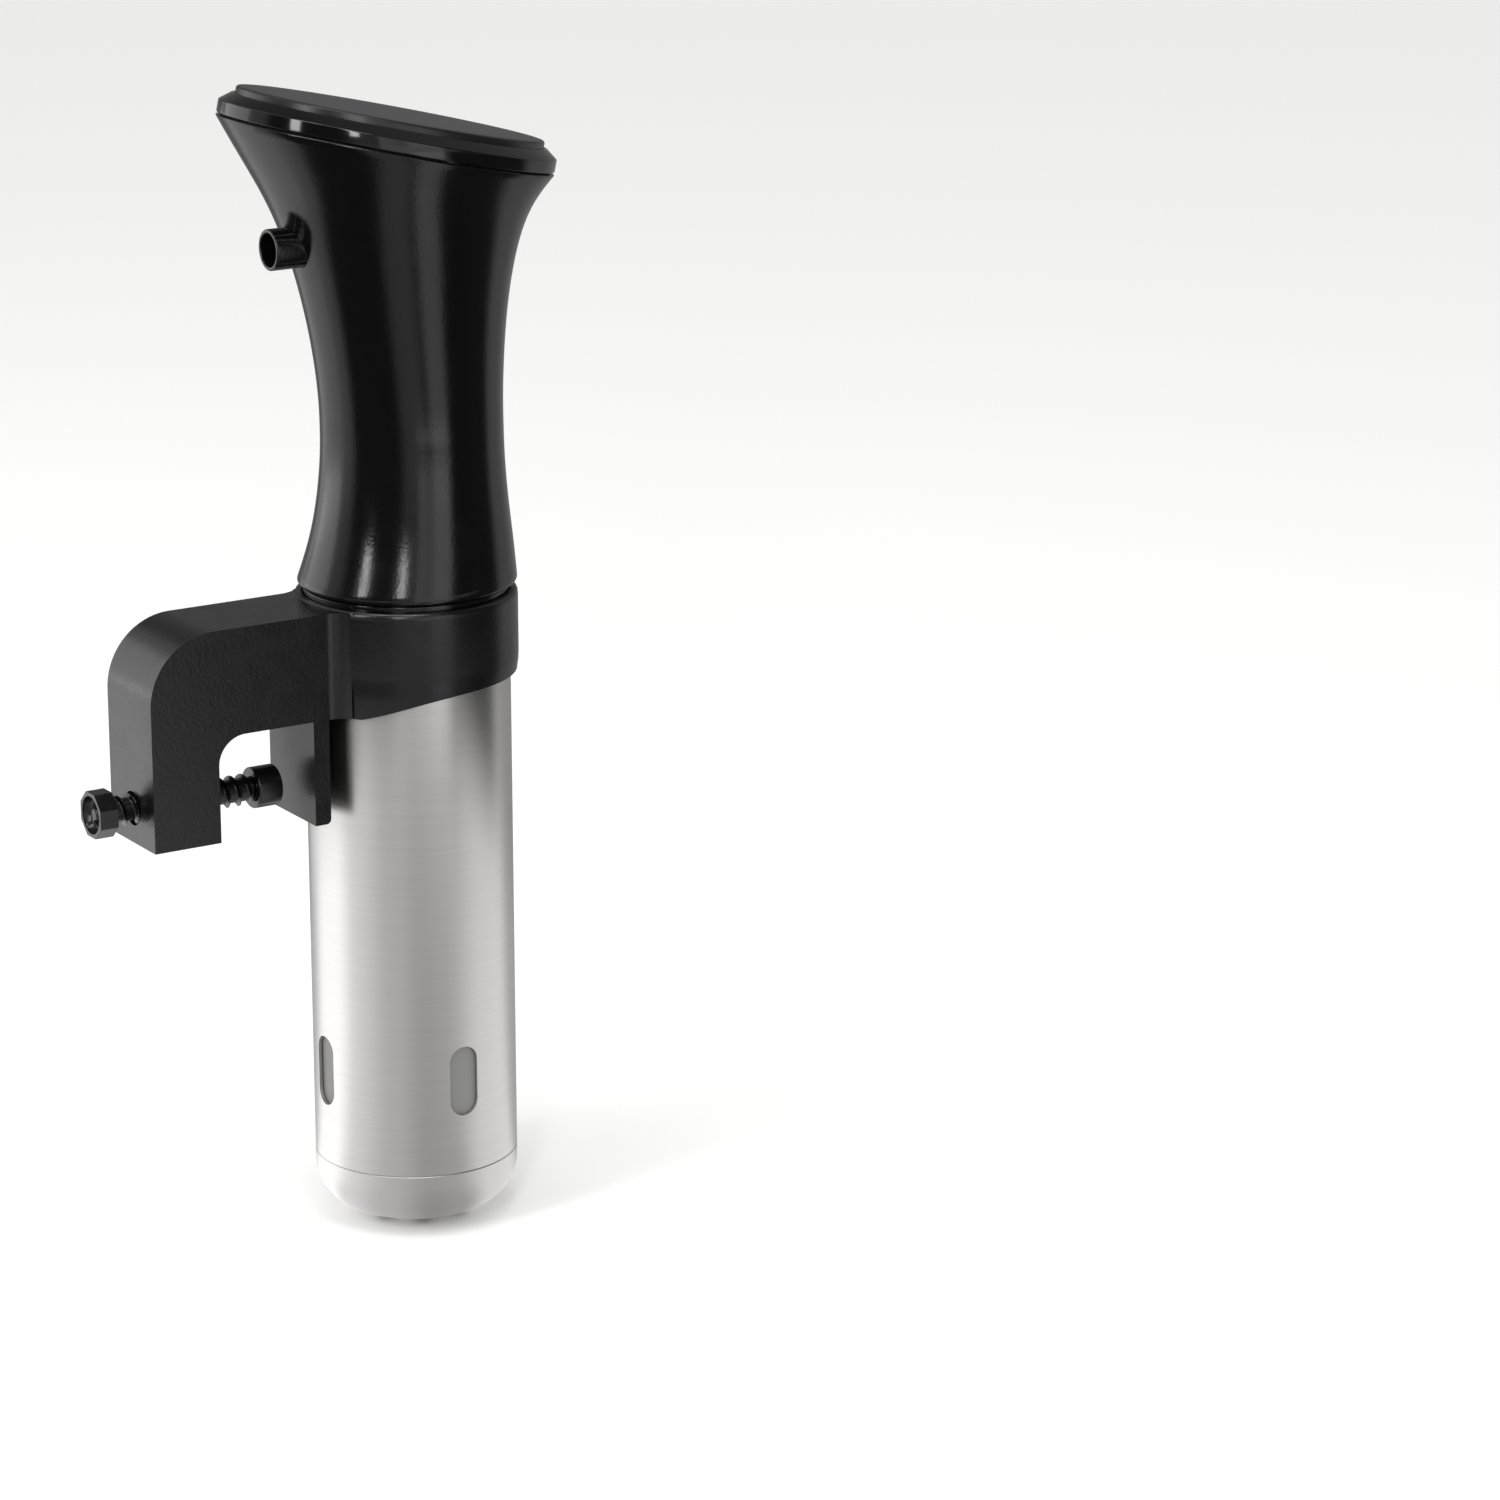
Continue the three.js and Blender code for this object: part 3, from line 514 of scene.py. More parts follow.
def ring_faces(rings: int, count: int, closed: bool) -> list[tuple[int, ...]]:
    """Return the quads between neighbouring rings of points.

    Args:
        rings: Number of rings.
        count: Number of points in each ring.
        closed: True if the last ring joins the first.

    Returns:
        Corner numbers of each face.
    """
    faces = []
    for i in range(rings if closed else rings - 1):
        here, there = i * count, ((i + 1) % rings) * count
        for j in range(count):
            k = (j + 1) % count
            faces.append((here + j, here + k, there + k, there + j))
    return faces


def loop_body(name: str, rings: Sequence[Ring], sharp: float = SHARP) -> Item:
    """Make a closed body whose skin runs through rings of points and back to the first."""
    points = [p for ring in rings for p in ring]
    return make_object(name, points, ring_faces(len(rings), len(rings[0]), True), sharp)


def capped_body(name: str, rings: Sequence[Ring], sharp: float = SHARP) -> Item:
    """Make a closed body through rings of points with a flat cap on each end.

    Args:
        name: Name of the piece.
        rings: Rings with the same number of points.
        sharp: Angle in degrees above which an edge stays sharp.

    Returns:
        The new object.
    """
    count = len(rings[0])
    points = [p for ring in rings for p in ring]
    faces = ring_faces(len(rings), count, False)
    last = (len(rings) - 1) * count
    faces.append(tuple(range(count)))
    faces.append(tuple(range(last, last + count)))
    return make_object(name, points, faces, sharp)


def turned(
    name: str,
    outline: Sequence[Point2],
    segments: int = FINE,
    place: Matrix | None = None,
) -> Item:
    """Make a body of revolution from an outline of radius and height.

    Args:
        name: Name of the piece.
        outline: Points of radius and height; it starts and ends on the axis, or is a closed loop.
        segments: Number of points round the axis.
        place: Where the turned body goes, in millimetres; upright on the sleeve's axis by default.

    Returns:
        The new object.
    """
    place = place or Matrix.Identity(4)
    points = [
        place @ Vector((radius * math.cos(a), radius * math.sin(a), height))
        for radius, height in outline
        for a in spokes(segments)
    ]
    open_ended = outline[0][0] == 0 and outline[-1][0] == 0
    return make_object(name, points, ring_faces(len(outline), segments, not open_ended))


def prism(name: str, outline: Sequence[Point2], span: Point2, lift: Lift) -> Item:
    """Make a straight body from an outline.

    Args:
        name: Name of the piece.
        outline: Flat outline's points.
        span: Where the body starts and ends along its length.
        lift: Turns an outline point and a length into a place.

    Returns:
        The new object.
    """
    rings = [[lift(u, v, along) for u, v in outline] for along in span]
    return capped_body(name, rings)


def boolean(body: Item, tools: Sequence[Item], how: str) -> None:
    """Join tools to a body, or cut them from it, and remove the tools.

    Args:
        body: Object to change.
        tools: Objects that are joined or cut.
        how: UNION or DIFFERENCE.
    """
    for tool in tools:
        step = body.modifiers.new("step", "BOOLEAN")
        step.operation = how
        step.solver = "MANIFOLD"
        step.object = tool
        apply_modifiers(body)
        bpy.data.objects.remove(tool)


def apply_modifiers(body: Item) -> None:
    """Replace a body's mesh with what its modifiers make of it."""
    bpy.context.view_layer.update()
    graph = bpy.context.evaluated_depsgraph_get()
    mesh = bpy.data.meshes.new_from_object(body.evaluated_get(graph))
    body.modifiers.clear()
    body.data = mesh


def soften(body: Item, width_mm: float) -> None:
    """Round a body's edges that are bent by more than 35 degrees.

    Args:
        body: Object to change.
        width_mm: Width of the rounding.
    """
    bevel = body.modifiers.new("edge", "BEVEL")
    bevel.width = width_mm * MM
    bevel.segments = 3
    bevel.limit_method = "ANGLE"
    bevel.angle_limit = math.radians(35)
    bevel.use_clamp_overlap = True
    bevel.miter_outer = "MITER_ARC"
    apply_modifiers(body)
    shade(body.data, SHARP)
    weigh = body.modifiers.new("shade", "WEIGHTED_NORMAL")
    weigh.keep_sharp = True
    apply_modifiers(body)


def settle(item: Item, finish: Finish, body: str, node: str) -> None:
    """Dress a piece, ride it on a body, hide the node of the solid model that it replaces, and
    report it.

    Args:
        item: The finished piece.
        finish: Its finish.
        body: Body that it rides on.
        node: Node of the solid model that it replaces.
    """
    item.data.materials.clear()
    item.data.materials.append(finish.material())
    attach(item, body)
    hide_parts(node)
    LOG.info("%-22s on %-8s %6d faces", item.name, body, len(item.data.polygons))


def along_x(height: float) -> Matrix:
    """Return the place of a turned body whose axis points to +X at a height on the mid plane."""
    return Matrix.Translation((0, 0, height)) @ Matrix.Rotation(math.radians(90), 4, "Y")


def natural_spline(knots: Sequence[float], values: Sequence[float]) -> Callable[[float], float]:
    """Return the smoothest curve through values at rising knots.

    Args:
        knots: Places along the curve.
        values: Value at each place.

    Returns:
        A function of place.
    """
    count = len(knots)
    step = [knots[i + 1] - knots[i] for i in range(count - 1)]
    slope = [(values[i + 1] - values[i]) / step[i] for i in range(count - 1)]
    upper, right = [0.0] * count, [0.0] * count
    for i in range(1, count - 1):
        pivot = 2 * (step[i - 1] + step[i]) - step[i - 1] * upper[i - 1]
        upper[i] = step[i] / pivot
        right[i] = (6 * (slope[i] - slope[i - 1]) - step[i - 1] * right[i - 1]) / pivot
    bend = [0.0] * count
    for i in range(count - 2, 0, -1):
        bend[i] = right[i] - upper[i] * bend[i + 1]

    def value(at: float) -> float:
        """Return the curve's value at one place.

        Args:
            at: The place.

        Returns:
            The value there.
        """
        i = min(max(sum(knot <= at for knot in knots) - 1, 0), count - 2)
        width = step[i]
        left, rest = knots[i + 1] - at, at - knots[i]
        cubic = (bend[i] * left**3 + bend[i + 1] * rest**3) / (6 * width)
        low = (values[i] / width - bend[i] * width / 6) * left
        high = (values[i + 1] / width - bend[i + 1] * width / 6) * rest
        return cubic + low + high

    return value


# ------------------------------------------------------------------ head
@dataclass
class Head:
    """The waisted shell, its slanted touch panel and its cord stub."""

    base_edge: float = 1.4
    waist: float = 48.0
    rim: float = 129.25
    rim_half_width: float = 43.2
    tilt: float = 12.9
    wall: float = 2.5
    levels: int = 72
    panel_x: float = -1.64
    panel_z: float = 138.23
    panel_half_length: float = 45.6
    panel_half_width: float = 38.9
    inlet_height: float = 103.0
    inlet_mouth: float = -41.8
    inlet_radius: float = 5.9
    inlet_bore: float = 4.8
    collar_radius: float = 7.9
    collar_face: float = -27.6
    collar_back: float = -25.5
    sections: tuple[tuple[float, float, float], ...] = (
        (3.4, 0.5, 31.8), (12, 1.7, 30), (28, 2.7, 27.5), (48, 2.9, 26.4), (66, 2.4, 27.4),
        (84, 1.3, 30), (98, 0.1, 33.4), (110, -1.4, 37.9), (120, -2.9, 43.5), (129.25, -3.7, 49.9),
    )

    def ring(self, height: float, inset: float, rise: float = 0.0) -> Ring:
        """Return one oval ring of the shell's skin.

        Args:
            height: Height of the ring's middle.
            inset: How far it lies inside the skin.
            rise: How far it is raised along its own normal.

        Returns:
            The ring's points.
        """
        heights = [section[0] for section in self.sections]
        middle = natural_spline(heights, [section[1] for section in self.sections])(height)
        half = natural_spline(heights, [section[2] for section in self.sections])(height)
        part = min(max((height - self.waist) / (self.rim - self.waist), 0.0), 1.0)
        taper = self.rim_half_width / self.sections[-1][2]
        half_width = half * (1 - (1 - taper) * part**0.8)
        place = Matrix.Translation((middle, 0, height)) @ Matrix.Rotation(
            math.radians(self.tilt) * part**1.6, 4, "Y"
        )
        return [
            place
            @ Vector(((half - inset) * math.cos(a), (half_width - inset) * math.sin(a), rise))
            for a in spokes(FINE)
        ]

    def build_shell(self) -> Item:
        """Build the hollow shell with its rounded base, its lip and the hole for the stub.

        Returns:
            The shell.
        """
        low = self.sections[0][0]
        heights = [low + (self.rim - low) * i / self.levels for i in range(self.levels + 1)]
        edge = self.base_edge
        rings = [self.ring(low, self.wall, -edge)]
        for k in range(5):
            turn = math.radians(90 * k / 5)
            rings.append(self.ring(low, edge * (1 - math.sin(turn)), -edge * math.cos(turn)))
        rings += [self.ring(height, 0) for height in heights]
        rings += [self.ring(self.rim, inset, rise) for inset, rise in (
            (0.0, 0.1), (0.12, 0.3), (0.35, 0.45), (1.15, 0.45), (1.15, -1.3), (self.wall, -1.3),
        )]
        rings += [self.ring(height, self.wall) for height in reversed(heights[1:-1])]
        shell = loop_body("head_shell_skin", rings)
        hole_radius = self.inlet_radius + 0.1
        outline = [(0, -38), (hole_radius, -38), (hole_radius, -24), (0, -24)]
        hole = turned("hole", outline, MEDIUM, along_x(self.inlet_height))
        boolean(shell, [hole], "DIFFERENCE")
        shade(shell.data, 40)
        return shell

    def build_stub(self) -> Item:
        """Build the hollow stub that takes the cord, with softly rounded lips.

        Returns:
            The stub.
        """
        mouth, collar, inner = self.inlet_mouth, self.collar_face, self.collar_back
        outline = [
            (self.inlet_bore, inner), (self.inlet_bore, mouth), (self.inlet_radius, mouth),
            (self.inlet_radius, collar), (self.collar_radius, collar), (self.collar_radius, inner),
        ]
        stub = rounded(outline, {1: 0.35, 2: 0.45})
        return turned("cord_stub", stub, MEDIUM, along_x(self.inlet_height))

    def oval_piece(self, name: str, outline: Sequence[Point2], solid: bool) -> Item:
        """Build a closed oval piece on the slanted top.

        Args:
            name: Name of the piece.
            outline: Points of distance outside the panel's edge and height above its face.
            solid: True for a plate with flat faces, false for a ring.

        Returns:
            The new object.
        """
        place = Matrix.Translation((self.panel_x, 0, self.panel_z)) @ Matrix.Rotation(
            math.radians(self.tilt), 4, "Y"
        )
        rings = []
        for offset, height in outline:
            length, width = self.panel_half_length + offset, self.panel_half_width + offset
            rings.append([
                place @ Vector((length * math.cos(a), width * math.sin(a), height))
                for a in spokes(FINE)
            ])
        return (capped_body if solid else loop_body)(name, rings, 28.0)

    def build_bezel(self) -> Item:
        """Build the polished ring: a raised inner lip, a wide chamfer and an upright side.

        Returns:
            The ring.
        """
        outline = [
            (0.3, -3.6), (0.3, -2.1), (0.95, -2.1), (4.3, -4.65), (4.3, -8.3), (-4.5, -8.3),
            (-4.5, -3.6),
        ]
        shape = rounded(outline, {1: 0.15, 2: 0.25, 3: 0.45, 4: 0.4})
        return self.oval_piece("bezel_polished", shape, solid=False)

    def build_panel(self) -> Item:
        """Build the touch panel: a flat oval with a soft shoulder, closed in the middle.

        Returns:
            The panel.
        """
        outline = [
            (-8.0, 0.0), (-0.9, 0.0), (-0.55, -0.06), (-0.25, -0.22), (-0.08, -0.45),
            (0.0, -0.75), (0.0, -3.3), (-8.0, -3.3),
        ]
        return self.oval_piece("touch_panel_face", outline, solid=True)

    def build(self) -> None:
        """Build and dress the head's pieces."""
        settle(self.build_shell(), HEAD_ABS, "housing", "head_shell")
        settle(self.build_stub(), HEAD_ABS, "housing", "cord_inlet")
        settle(self.build_bezel(), BEZEL_ABS, "housing", "bezel_ring")
        settle(self.build_panel(), PANEL_ACRYLIC, "housing", "touch_panel")


# ------------------------------------------------------------------ wet end
@dataclass
class WetEnd:
    """The neck, the steel sleeve with its slots, the guard behind them and the end cap."""

    radius: float = 30.0
    wall: float = 1.0
    spigot: float = 28.7
    neck_inner: float = 27.4
    shaft_hole: float = 7.0
    neck_floor: Point2 = (21.5, -8.0)
    slot_width: float = 9.0
    slot_height: float = 21.2
    slot_middle: float = -142.7
    slot_count: int = 4
    cap_corner: float = 14.0
    cap_dish: float = 1.5
    hole_count: int = 8
    hole_radius: float = 2.6
    hole_circle: float = 15.0

    def build_neck(self) -> Item:
        """Build the dark collar that shows as a shadow gap under the head.

        Returns:
            The collar.
        """
        low, high = in_unit("neck_plug")
        rim_top, rim_low = 1.7, -1.0
        cup_radius, floor = self.neck_floor
        outline = [
            (self.shaft_hole, low.z), (self.spigot, low.z), (self.spigot, rim_low),
            (self.radius, rim_low), (self.radius, rim_top), (self.neck_inner, rim_top),
            (self.neck_inner, high.z), (cup_radius, high.z), (cup_radius, floor),
            (self.shaft_hole, floor),
        ]
        return turned("neck_collar", rounded(outline, {3: 0.3, 4: 0.4}))

    def build_sleeve(self) -> Item:
        """Build the brushed tube and cut its pill-shaped slots.

        Returns:
            The tube.
        """
        low, high = in_unit("steel_sleeve")
        inner = self.radius - self.wall
        outline = [(inner, low.z), (self.radius, low.z), (self.radius, high.z), (inner, high.z)]
        sleeve = turned("sleeve_brushed", rounded(outline, {1: 0.2, 2: 0.2}), 2 * FINE)
        straight = (self.slot_height - self.slot_width) / 2
        pill = arc((0, straight), self.slot_width / 2, 0, 180, 24)
        pill += arc((0, -straight), self.slot_width / 2, 180, 360, 24)
        cutters = []
        for i, angle in enumerate(spokes(self.slot_count)):
            turn = Matrix.Rotation(angle, 4, "Z")

            def lift(u: float, v: float, along: float, spin: Matrix = turn) -> Vector:
                """Stand the slot's outline up on the tube's side."""
                return spin @ Vector((u, along, v + self.slot_middle))

            cutters.append(prism(f"slot_{i}", pill, (-35.0, -20.0), lift))
        boolean(sleeve, cutters, "DIFFERENCE")
        shade(sleeve.data, 30)
        return sleeve

    def build_guard(self) -> Item:
        """Build the thin guard just inside the slots.

        Returns:
            The guard.
        """
        low, high = in_unit("slot_screen")
        outer = self.radius - self.wall - 0.3
        outline = [(outer - 0.7, low.z), (outer, low.z), (outer, high.z), (outer - 0.7, high.z)]
        return turned("slot_guard", outline)

    def build_cap(self) -> Item:
        """Build the deep-drawn end cap with its round corner and inlet holes.

        Returns:
            The cap.
        """
        low, high = in_unit("end_cap")
        seam = in_unit("steel_sleeve")[0].z - 0.08
        floor = low.z + self.cap_dish
        middle = (self.radius - self.cap_corner, floor + self.cap_corner)
        corner = arc(middle, self.cap_corner, -90, 0, 18)
        dish = [(r, low.z + self.cap_dish * (r / corner[0][0]) ** 2) for r in (0.0, 4, 8, 12)]
        inner, thick = self.radius - 4.3, 1.8
        inside = arc((inner - 10, floor + thick + 10), 10, 0, -90, 10)
        outline = dish + corner + [
            (self.radius, seam - 0.2), (self.radius - 0.2, seam), (self.spigot, seam),
            (self.spigot, high.z), (inner, high.z), *inside, (0.0, floor + thick - 0.8),
        ]
        cap = turned("end_cap_drawn", outline, 2 * FINE)
        holes = []
        start, end, radius = low.z - 3, -180, self.hole_radius
        bar = [(0, start), (radius, start), (radius, end), (0, end)]
        for i, spoke in enumerate(spokes(self.hole_count)):
            angle = spoke + math.radians(22.5)
            x, y = self.hole_circle * math.cos(angle), self.hole_circle * math.sin(angle)
            holes.append(turned(f"hole_{i}", bar, 32, Matrix.Translation((x, y, 0))))
        boolean(cap, holes, "DIFFERENCE")
        shade(cap.data, 30)
        return cap

    def build(self) -> None:
        """Build and dress the wet end's pieces."""
        settle(self.build_neck(), HEAD_ABS, "housing", "neck_plug")
        settle(self.build_sleeve(), SLEEVE_STEEL, "housing", "steel_sleeve")
        settle(self.build_guard(), SCREEN_POLYMER, "housing", "slot_screen")
        settle(self.build_cap(), CAP_STEEL, "housing", "end_cap")


# ------------------------------------------------------------------ clamp
@dataclass
class Clamp:
    """The ring, the arm with its leg and jaw, and the hand screw with its knob and foot."""

    width: float = 27.8
    top: float = -0.4
    underside: float = -31.6
    leg_outer: float = -89.3
    leg_inner: float = -68.5
    leg_bottom: float = -62.6
    jaw_outer: float = -38.3
    jaw_inner: float = -33.3
    corner: float = 20.0
    leg_fillet: float = 8.5
    bore: float = 30.4
    ring_radius: float = 32.4
    root_fillet: float = 7.0
    screw_height: float = -52.4
    screw_core: float = 3.4
    screw_crest: float = 4.6
    screw_pitch: float = 3.6
    screw_bore: float = 5.0
    knob_back: float = -96.8
    knob_front: float = -102.4
    knob_corner: float = 7.05
    foot_back: float = -52.0
    foot_face: float = -44.3
    foot_radius: float = 6.0

    def arm(self) -> Item:
        """Build the arm, its leg and the inner jaw as one plate.

        Returns:
            The plate.
        """
        outline = [(-28.0, self.top)]
        shoulder = (self.leg_outer + self.corner, self.top - self.corner)
        outline += arc(shoulder, self.corner, 90, 180, 24)
        outline += [(self.leg_outer, self.leg_bottom), (self.leg_inner, self.leg_bottom)]
        fillet = (self.leg_inner + self.leg_fillet, self.underside - self.leg_fillet)
        outline += arc(fillet, self.leg_fillet, 180, 90, 14)
        outline += [(self.jaw_outer, self.underside), (self.jaw_outer, self.leg_bottom)]
        outline += arc((self.jaw_inner - 1.5, self.leg_bottom + 1.5), 1.5, -90, 0, 6)
        outline += [(self.jaw_inner, self.underside), (-28.0, self.underside)]
        half = self.width / 2
        return prism("clamp_body", outline, (-half, half), lambda u, v, y: Vector((u, y, v)))

    def root(self) -> Item:
        """Build the arm's root, which sweeps into the ring on both sides.

        Returns:
            The root.
        """
        side = self.width / 2
        centre_y = side + self.root_fillet
        centre_x = -math.sqrt((self.ring_radius + self.root_fillet) ** 2 - centre_y**2)
        meet = math.degrees(math.atan2(-centre_y, -centre_x))
        plan = [(centre_x - 2, -side)]
        plan += arc((centre_x, -centre_y), self.root_fillet, 90, -meet, 14)
        plan += [(-20.0, 0.0)]
        plan += arc((centre_x, centre_y), self.root_fillet, meet, -90, 14)
        plan += [(centre_x - 2, side)]
        span = (self.underside, self.top)
        return prism("root", plan, span, lambda u, v, z: Vector((u, v, z)))

    def ring(self) -> Item:
        """Build the ring's blank, slightly barrelled and drawn in towards its lower edge.

        Returns:
            The blank.
        """
        outline = [
            (28.0, self.underside), (31.8, self.underside), (31.8, -26.0), (31.85, -24.6),
            (32.05, -23.0), (32.3, -21.0), (32.4, -19.0), (32.4, -2.0), (32.3, -1.0),
            (32.0, -0.35), (31.5, 0.0), (28.0, 0.0),
        ]
        return turned("ring", outline)

    def under_ring(self) -> Item:
        """Build what is cut away below the ring's lower edge, which sweeps down to the arm.

        Returns:
            What is cut away.
        """
        sweep = natural_spline(
            [-30.0, -24.0, -17.5, -10.5, -3.0, 7.0, 18.0, 36.0],
            [-33.4, -31.0, -28.6, -26.6, -25.3, -24.5, -24.2, -23.9],
        )
        start, length, count = -30.0, 66.0, 60
        along = [start + length * i / count for i in range(count + 1)]
        outline = [*((x, sweep(x)) for x in along), (start + length, -50.0), (start, -50.0)]
        return prism("under", outline, (-45.0, 45.0), lambda u, v, y: Vector((u, y, v)))

    def build_bracket(self) -> Item:
        """Build the one-piece moulding of ring, arm, leg and jaw.

        Returns:
            The moulding.
        """
        bracket = self.arm()
        boolean(bracket, [self.root(), self.ring()], "UNION")
        bore = turned("bore", [(0, -80), (self.bore, -80), (self.bore, 10), (0, 10)])
        thread = turned(
            "thread", [(0, -100), (self.screw_bore, -100), (self.screw_bore, -60), (0, -60)],
            MEDIUM, along_x(self.screw_height),
        )
        boolean(bracket, [bore, self.under_ring(), thread], "DIFFERENCE")
        soften(bracket, 0.45)
        return bracket

    def on_screw(self, x: float, radius: float, turn: float) -> Vector:
        """Return a point round the screw's axis, with the turn in radians."""
        return Vector((x, radius * math.cos(turn), radius * math.sin(turn) + self.screw_height))

    def build_screw(self) -> Item:
        """Build the bar with its round coarse thread, its neck and the ball at its tip.

        Returns:
            The screw.
        """
        start, thread_end = self.knob_back - 1.8, self.foot_back - 0.4
        around, rows_per_turn = 48, 28
        rows = round((thread_end - start) / self.screw_pitch * rows_per_turn)
        rings = []
        for row in range(rows + 1):
            x = start + (thread_end - start) * row / rows
            fade = min(1.0, max(0.0, (x - self.knob_back - 0.6) / 1.5), (thread_end - x) / 0.8)
            ring = []
            for turn in spokes(around):
                phase = 2 * math.pi * (x - start) / self.screw_pitch - turn
                bead = max(0.0, math.cos(phase)) ** 5 * fade
                radius = self.screw_core + (self.screw_crest - self.screw_core) * bead
                ring.append(self.on_screw(x, radius, turn))
            rings.append(ring)
        neck_end = self.foot_back + 2
        for x, radius in (
            (thread_end, 2.3), (neck_end, 2.3), (neck_end, 3.0), (neck_end + 0.2, 3.2),
            (neck_end + 3, 3.2), (neck_end + 3.8, 2.6), (neck_end + 4.2, 1.6),
        ):
            rings.append([self.on_screw(x, radius, a) for a in spokes(around)])
        return capped_body("hand_screw", rings, 50.0)

    def build_knob(self) -> Item:
        """Build the eight-sided knob with its cupped face and centre bump.

        Returns:
            The knob.
        """
        corners = [math.radians(22.5 + 45 * i) for i in range(8)]
        plan = [(self.knob_corner * math.cos(a), self.knob_corner * math.sin(a)) for a in corners]
        plan = rounded(plan, dict.fromkeys(range(8), 0.7), 3)
        height = self.screw_height
        knob = prism(
            "screw_knob", plan, (self.knob_front, self.knob_back),
            lambda u, v, x: Vector((x, u, v + height)),
        )
        floor = self.knob_front + 2.7
        cup = turned(
            "cup",
            [(0, self.knob_front - 1), (5.5, self.knob_front - 1), (5.5, self.knob_front + 0.6),
             (4.9, floor - 0.5), (4.3, floor), (2.6, floor), (2.2, floor - 0.3), (1.9, floor - 1.3),
             (1.5, floor - 1.7), (0, floor - 1.8)],
            MEDIUM, along_x(height),
        )
        socket = turned(
            "socket", [(0, self.knob_back - 2.1), (3.7, self.knob_back - 2.1),
                       (3.7, self.knob_back + 1), (0, self.knob_back + 1)],
            MEDIUM, along_x(height),
        )
        boolean(knob, [cup, socket], "DIFFERENCE")
        soften(knob, 0.3)
        return knob

    def build_foot(self) -> Item:
        """Build the round foot that presses on the wall of the bath, hollow for the ball.

        Returns:
            The foot.
        """
        back, face, radius = self.foot_back, self.foot_face, self.foot_radius
        outline = [
            (0.0, face - 1.2), (3.6, face - 1.2), (3.6, back + 1.6), (2.7, back + 1.6), (2.7, back),
            (radius, back), (radius, face), (0.0, face),
        ]
        shape = rounded(outline, {4: 0.3, 5: 0.6, 6: 0.6})
        return turned("screw_foot", shape, MEDIUM, along_x(self.screw_height))

    def build(self) -> None:
        """Build and dress the clamp's pieces."""
        settle(self.build_bracket(), ARM_ABS, "housing", "clamp_bracket")
        settle(self.build_screw(), SCREW_NYLON, "screw", "clamp_screw")
        settle(self.build_knob(), SCREW_NYLON, "screw", "clamp_knob")
        settle(self.build_foot(), SCREW_NYLON, "foot", "clamp_foot")


# ------------------------------------------------------------------ inside
@dataclass
class Inside:
    """The pieces inside the head and the sleeve, which keep their own shapes."""

    finishes: dict[Finish, tuple[str, ...]]

    def build(self) -> None:
        """Dress each inner piece in its finish."""
        for finish, nodes in self.finishes.items():
            for name in nodes:
                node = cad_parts[name]
                if not node.material_slots:
                    node.data.materials.append(None)
                for slot in node.material_slots:
                    slot.material = finish.material()
            LOG.info("%-34s %s", finish.name, ", ".join(nodes))


# ------------------------------------------------------------------ studio
@dataclass
class Softbox:
    """One soft studio light.

    Attributes:
        name: Name of the light.
        azimuth: Where it stands round the object, in degrees from the main view's side.
        elevation: How high it stands, in degrees.
        distance: How far it stands, in metres.
        size: Its width and height in metres.
        power: Its power in watts.
    """

    name: str
    azimuth: float
    elevation: float
    distance: float
    size: Point2
    power: float

    def build(self, target: Vector, camera_azimuth: float) -> None:
        """Place the light round the object.

        Args:
            target: The object's middle, in metres.
            camera_azimuth: Azimuth of the main view, in degrees.
        """
        light = bpy.data.lights.new(self.name, "AREA")
        light.shape = "RECTANGLE"
        light.size, light.size_y = self.size
        light.energy = self.power
        item = bpy.data.objects.new(self.name, light)
        bpy.context.scene.collection.objects.link(item)
        item.visible_camera = False
        back = towards(camera_azimuth + self.azimuth, self.elevation)
        item.location = target + back * self.distance
        item.rotation_euler = back.to_track_quat("Z", "Y").to_euler()


def towards(azimuth: float, elevation: float) -> Vector:
    """Return the direction from the object to a place round it, with azimuth 0 on the -Y side."""
    a, e = math.radians(azimuth), math.radians(elevation)
    return Vector((math.sin(a) * math.cos(e), -math.cos(a) * math.cos(e), math.sin(e)))


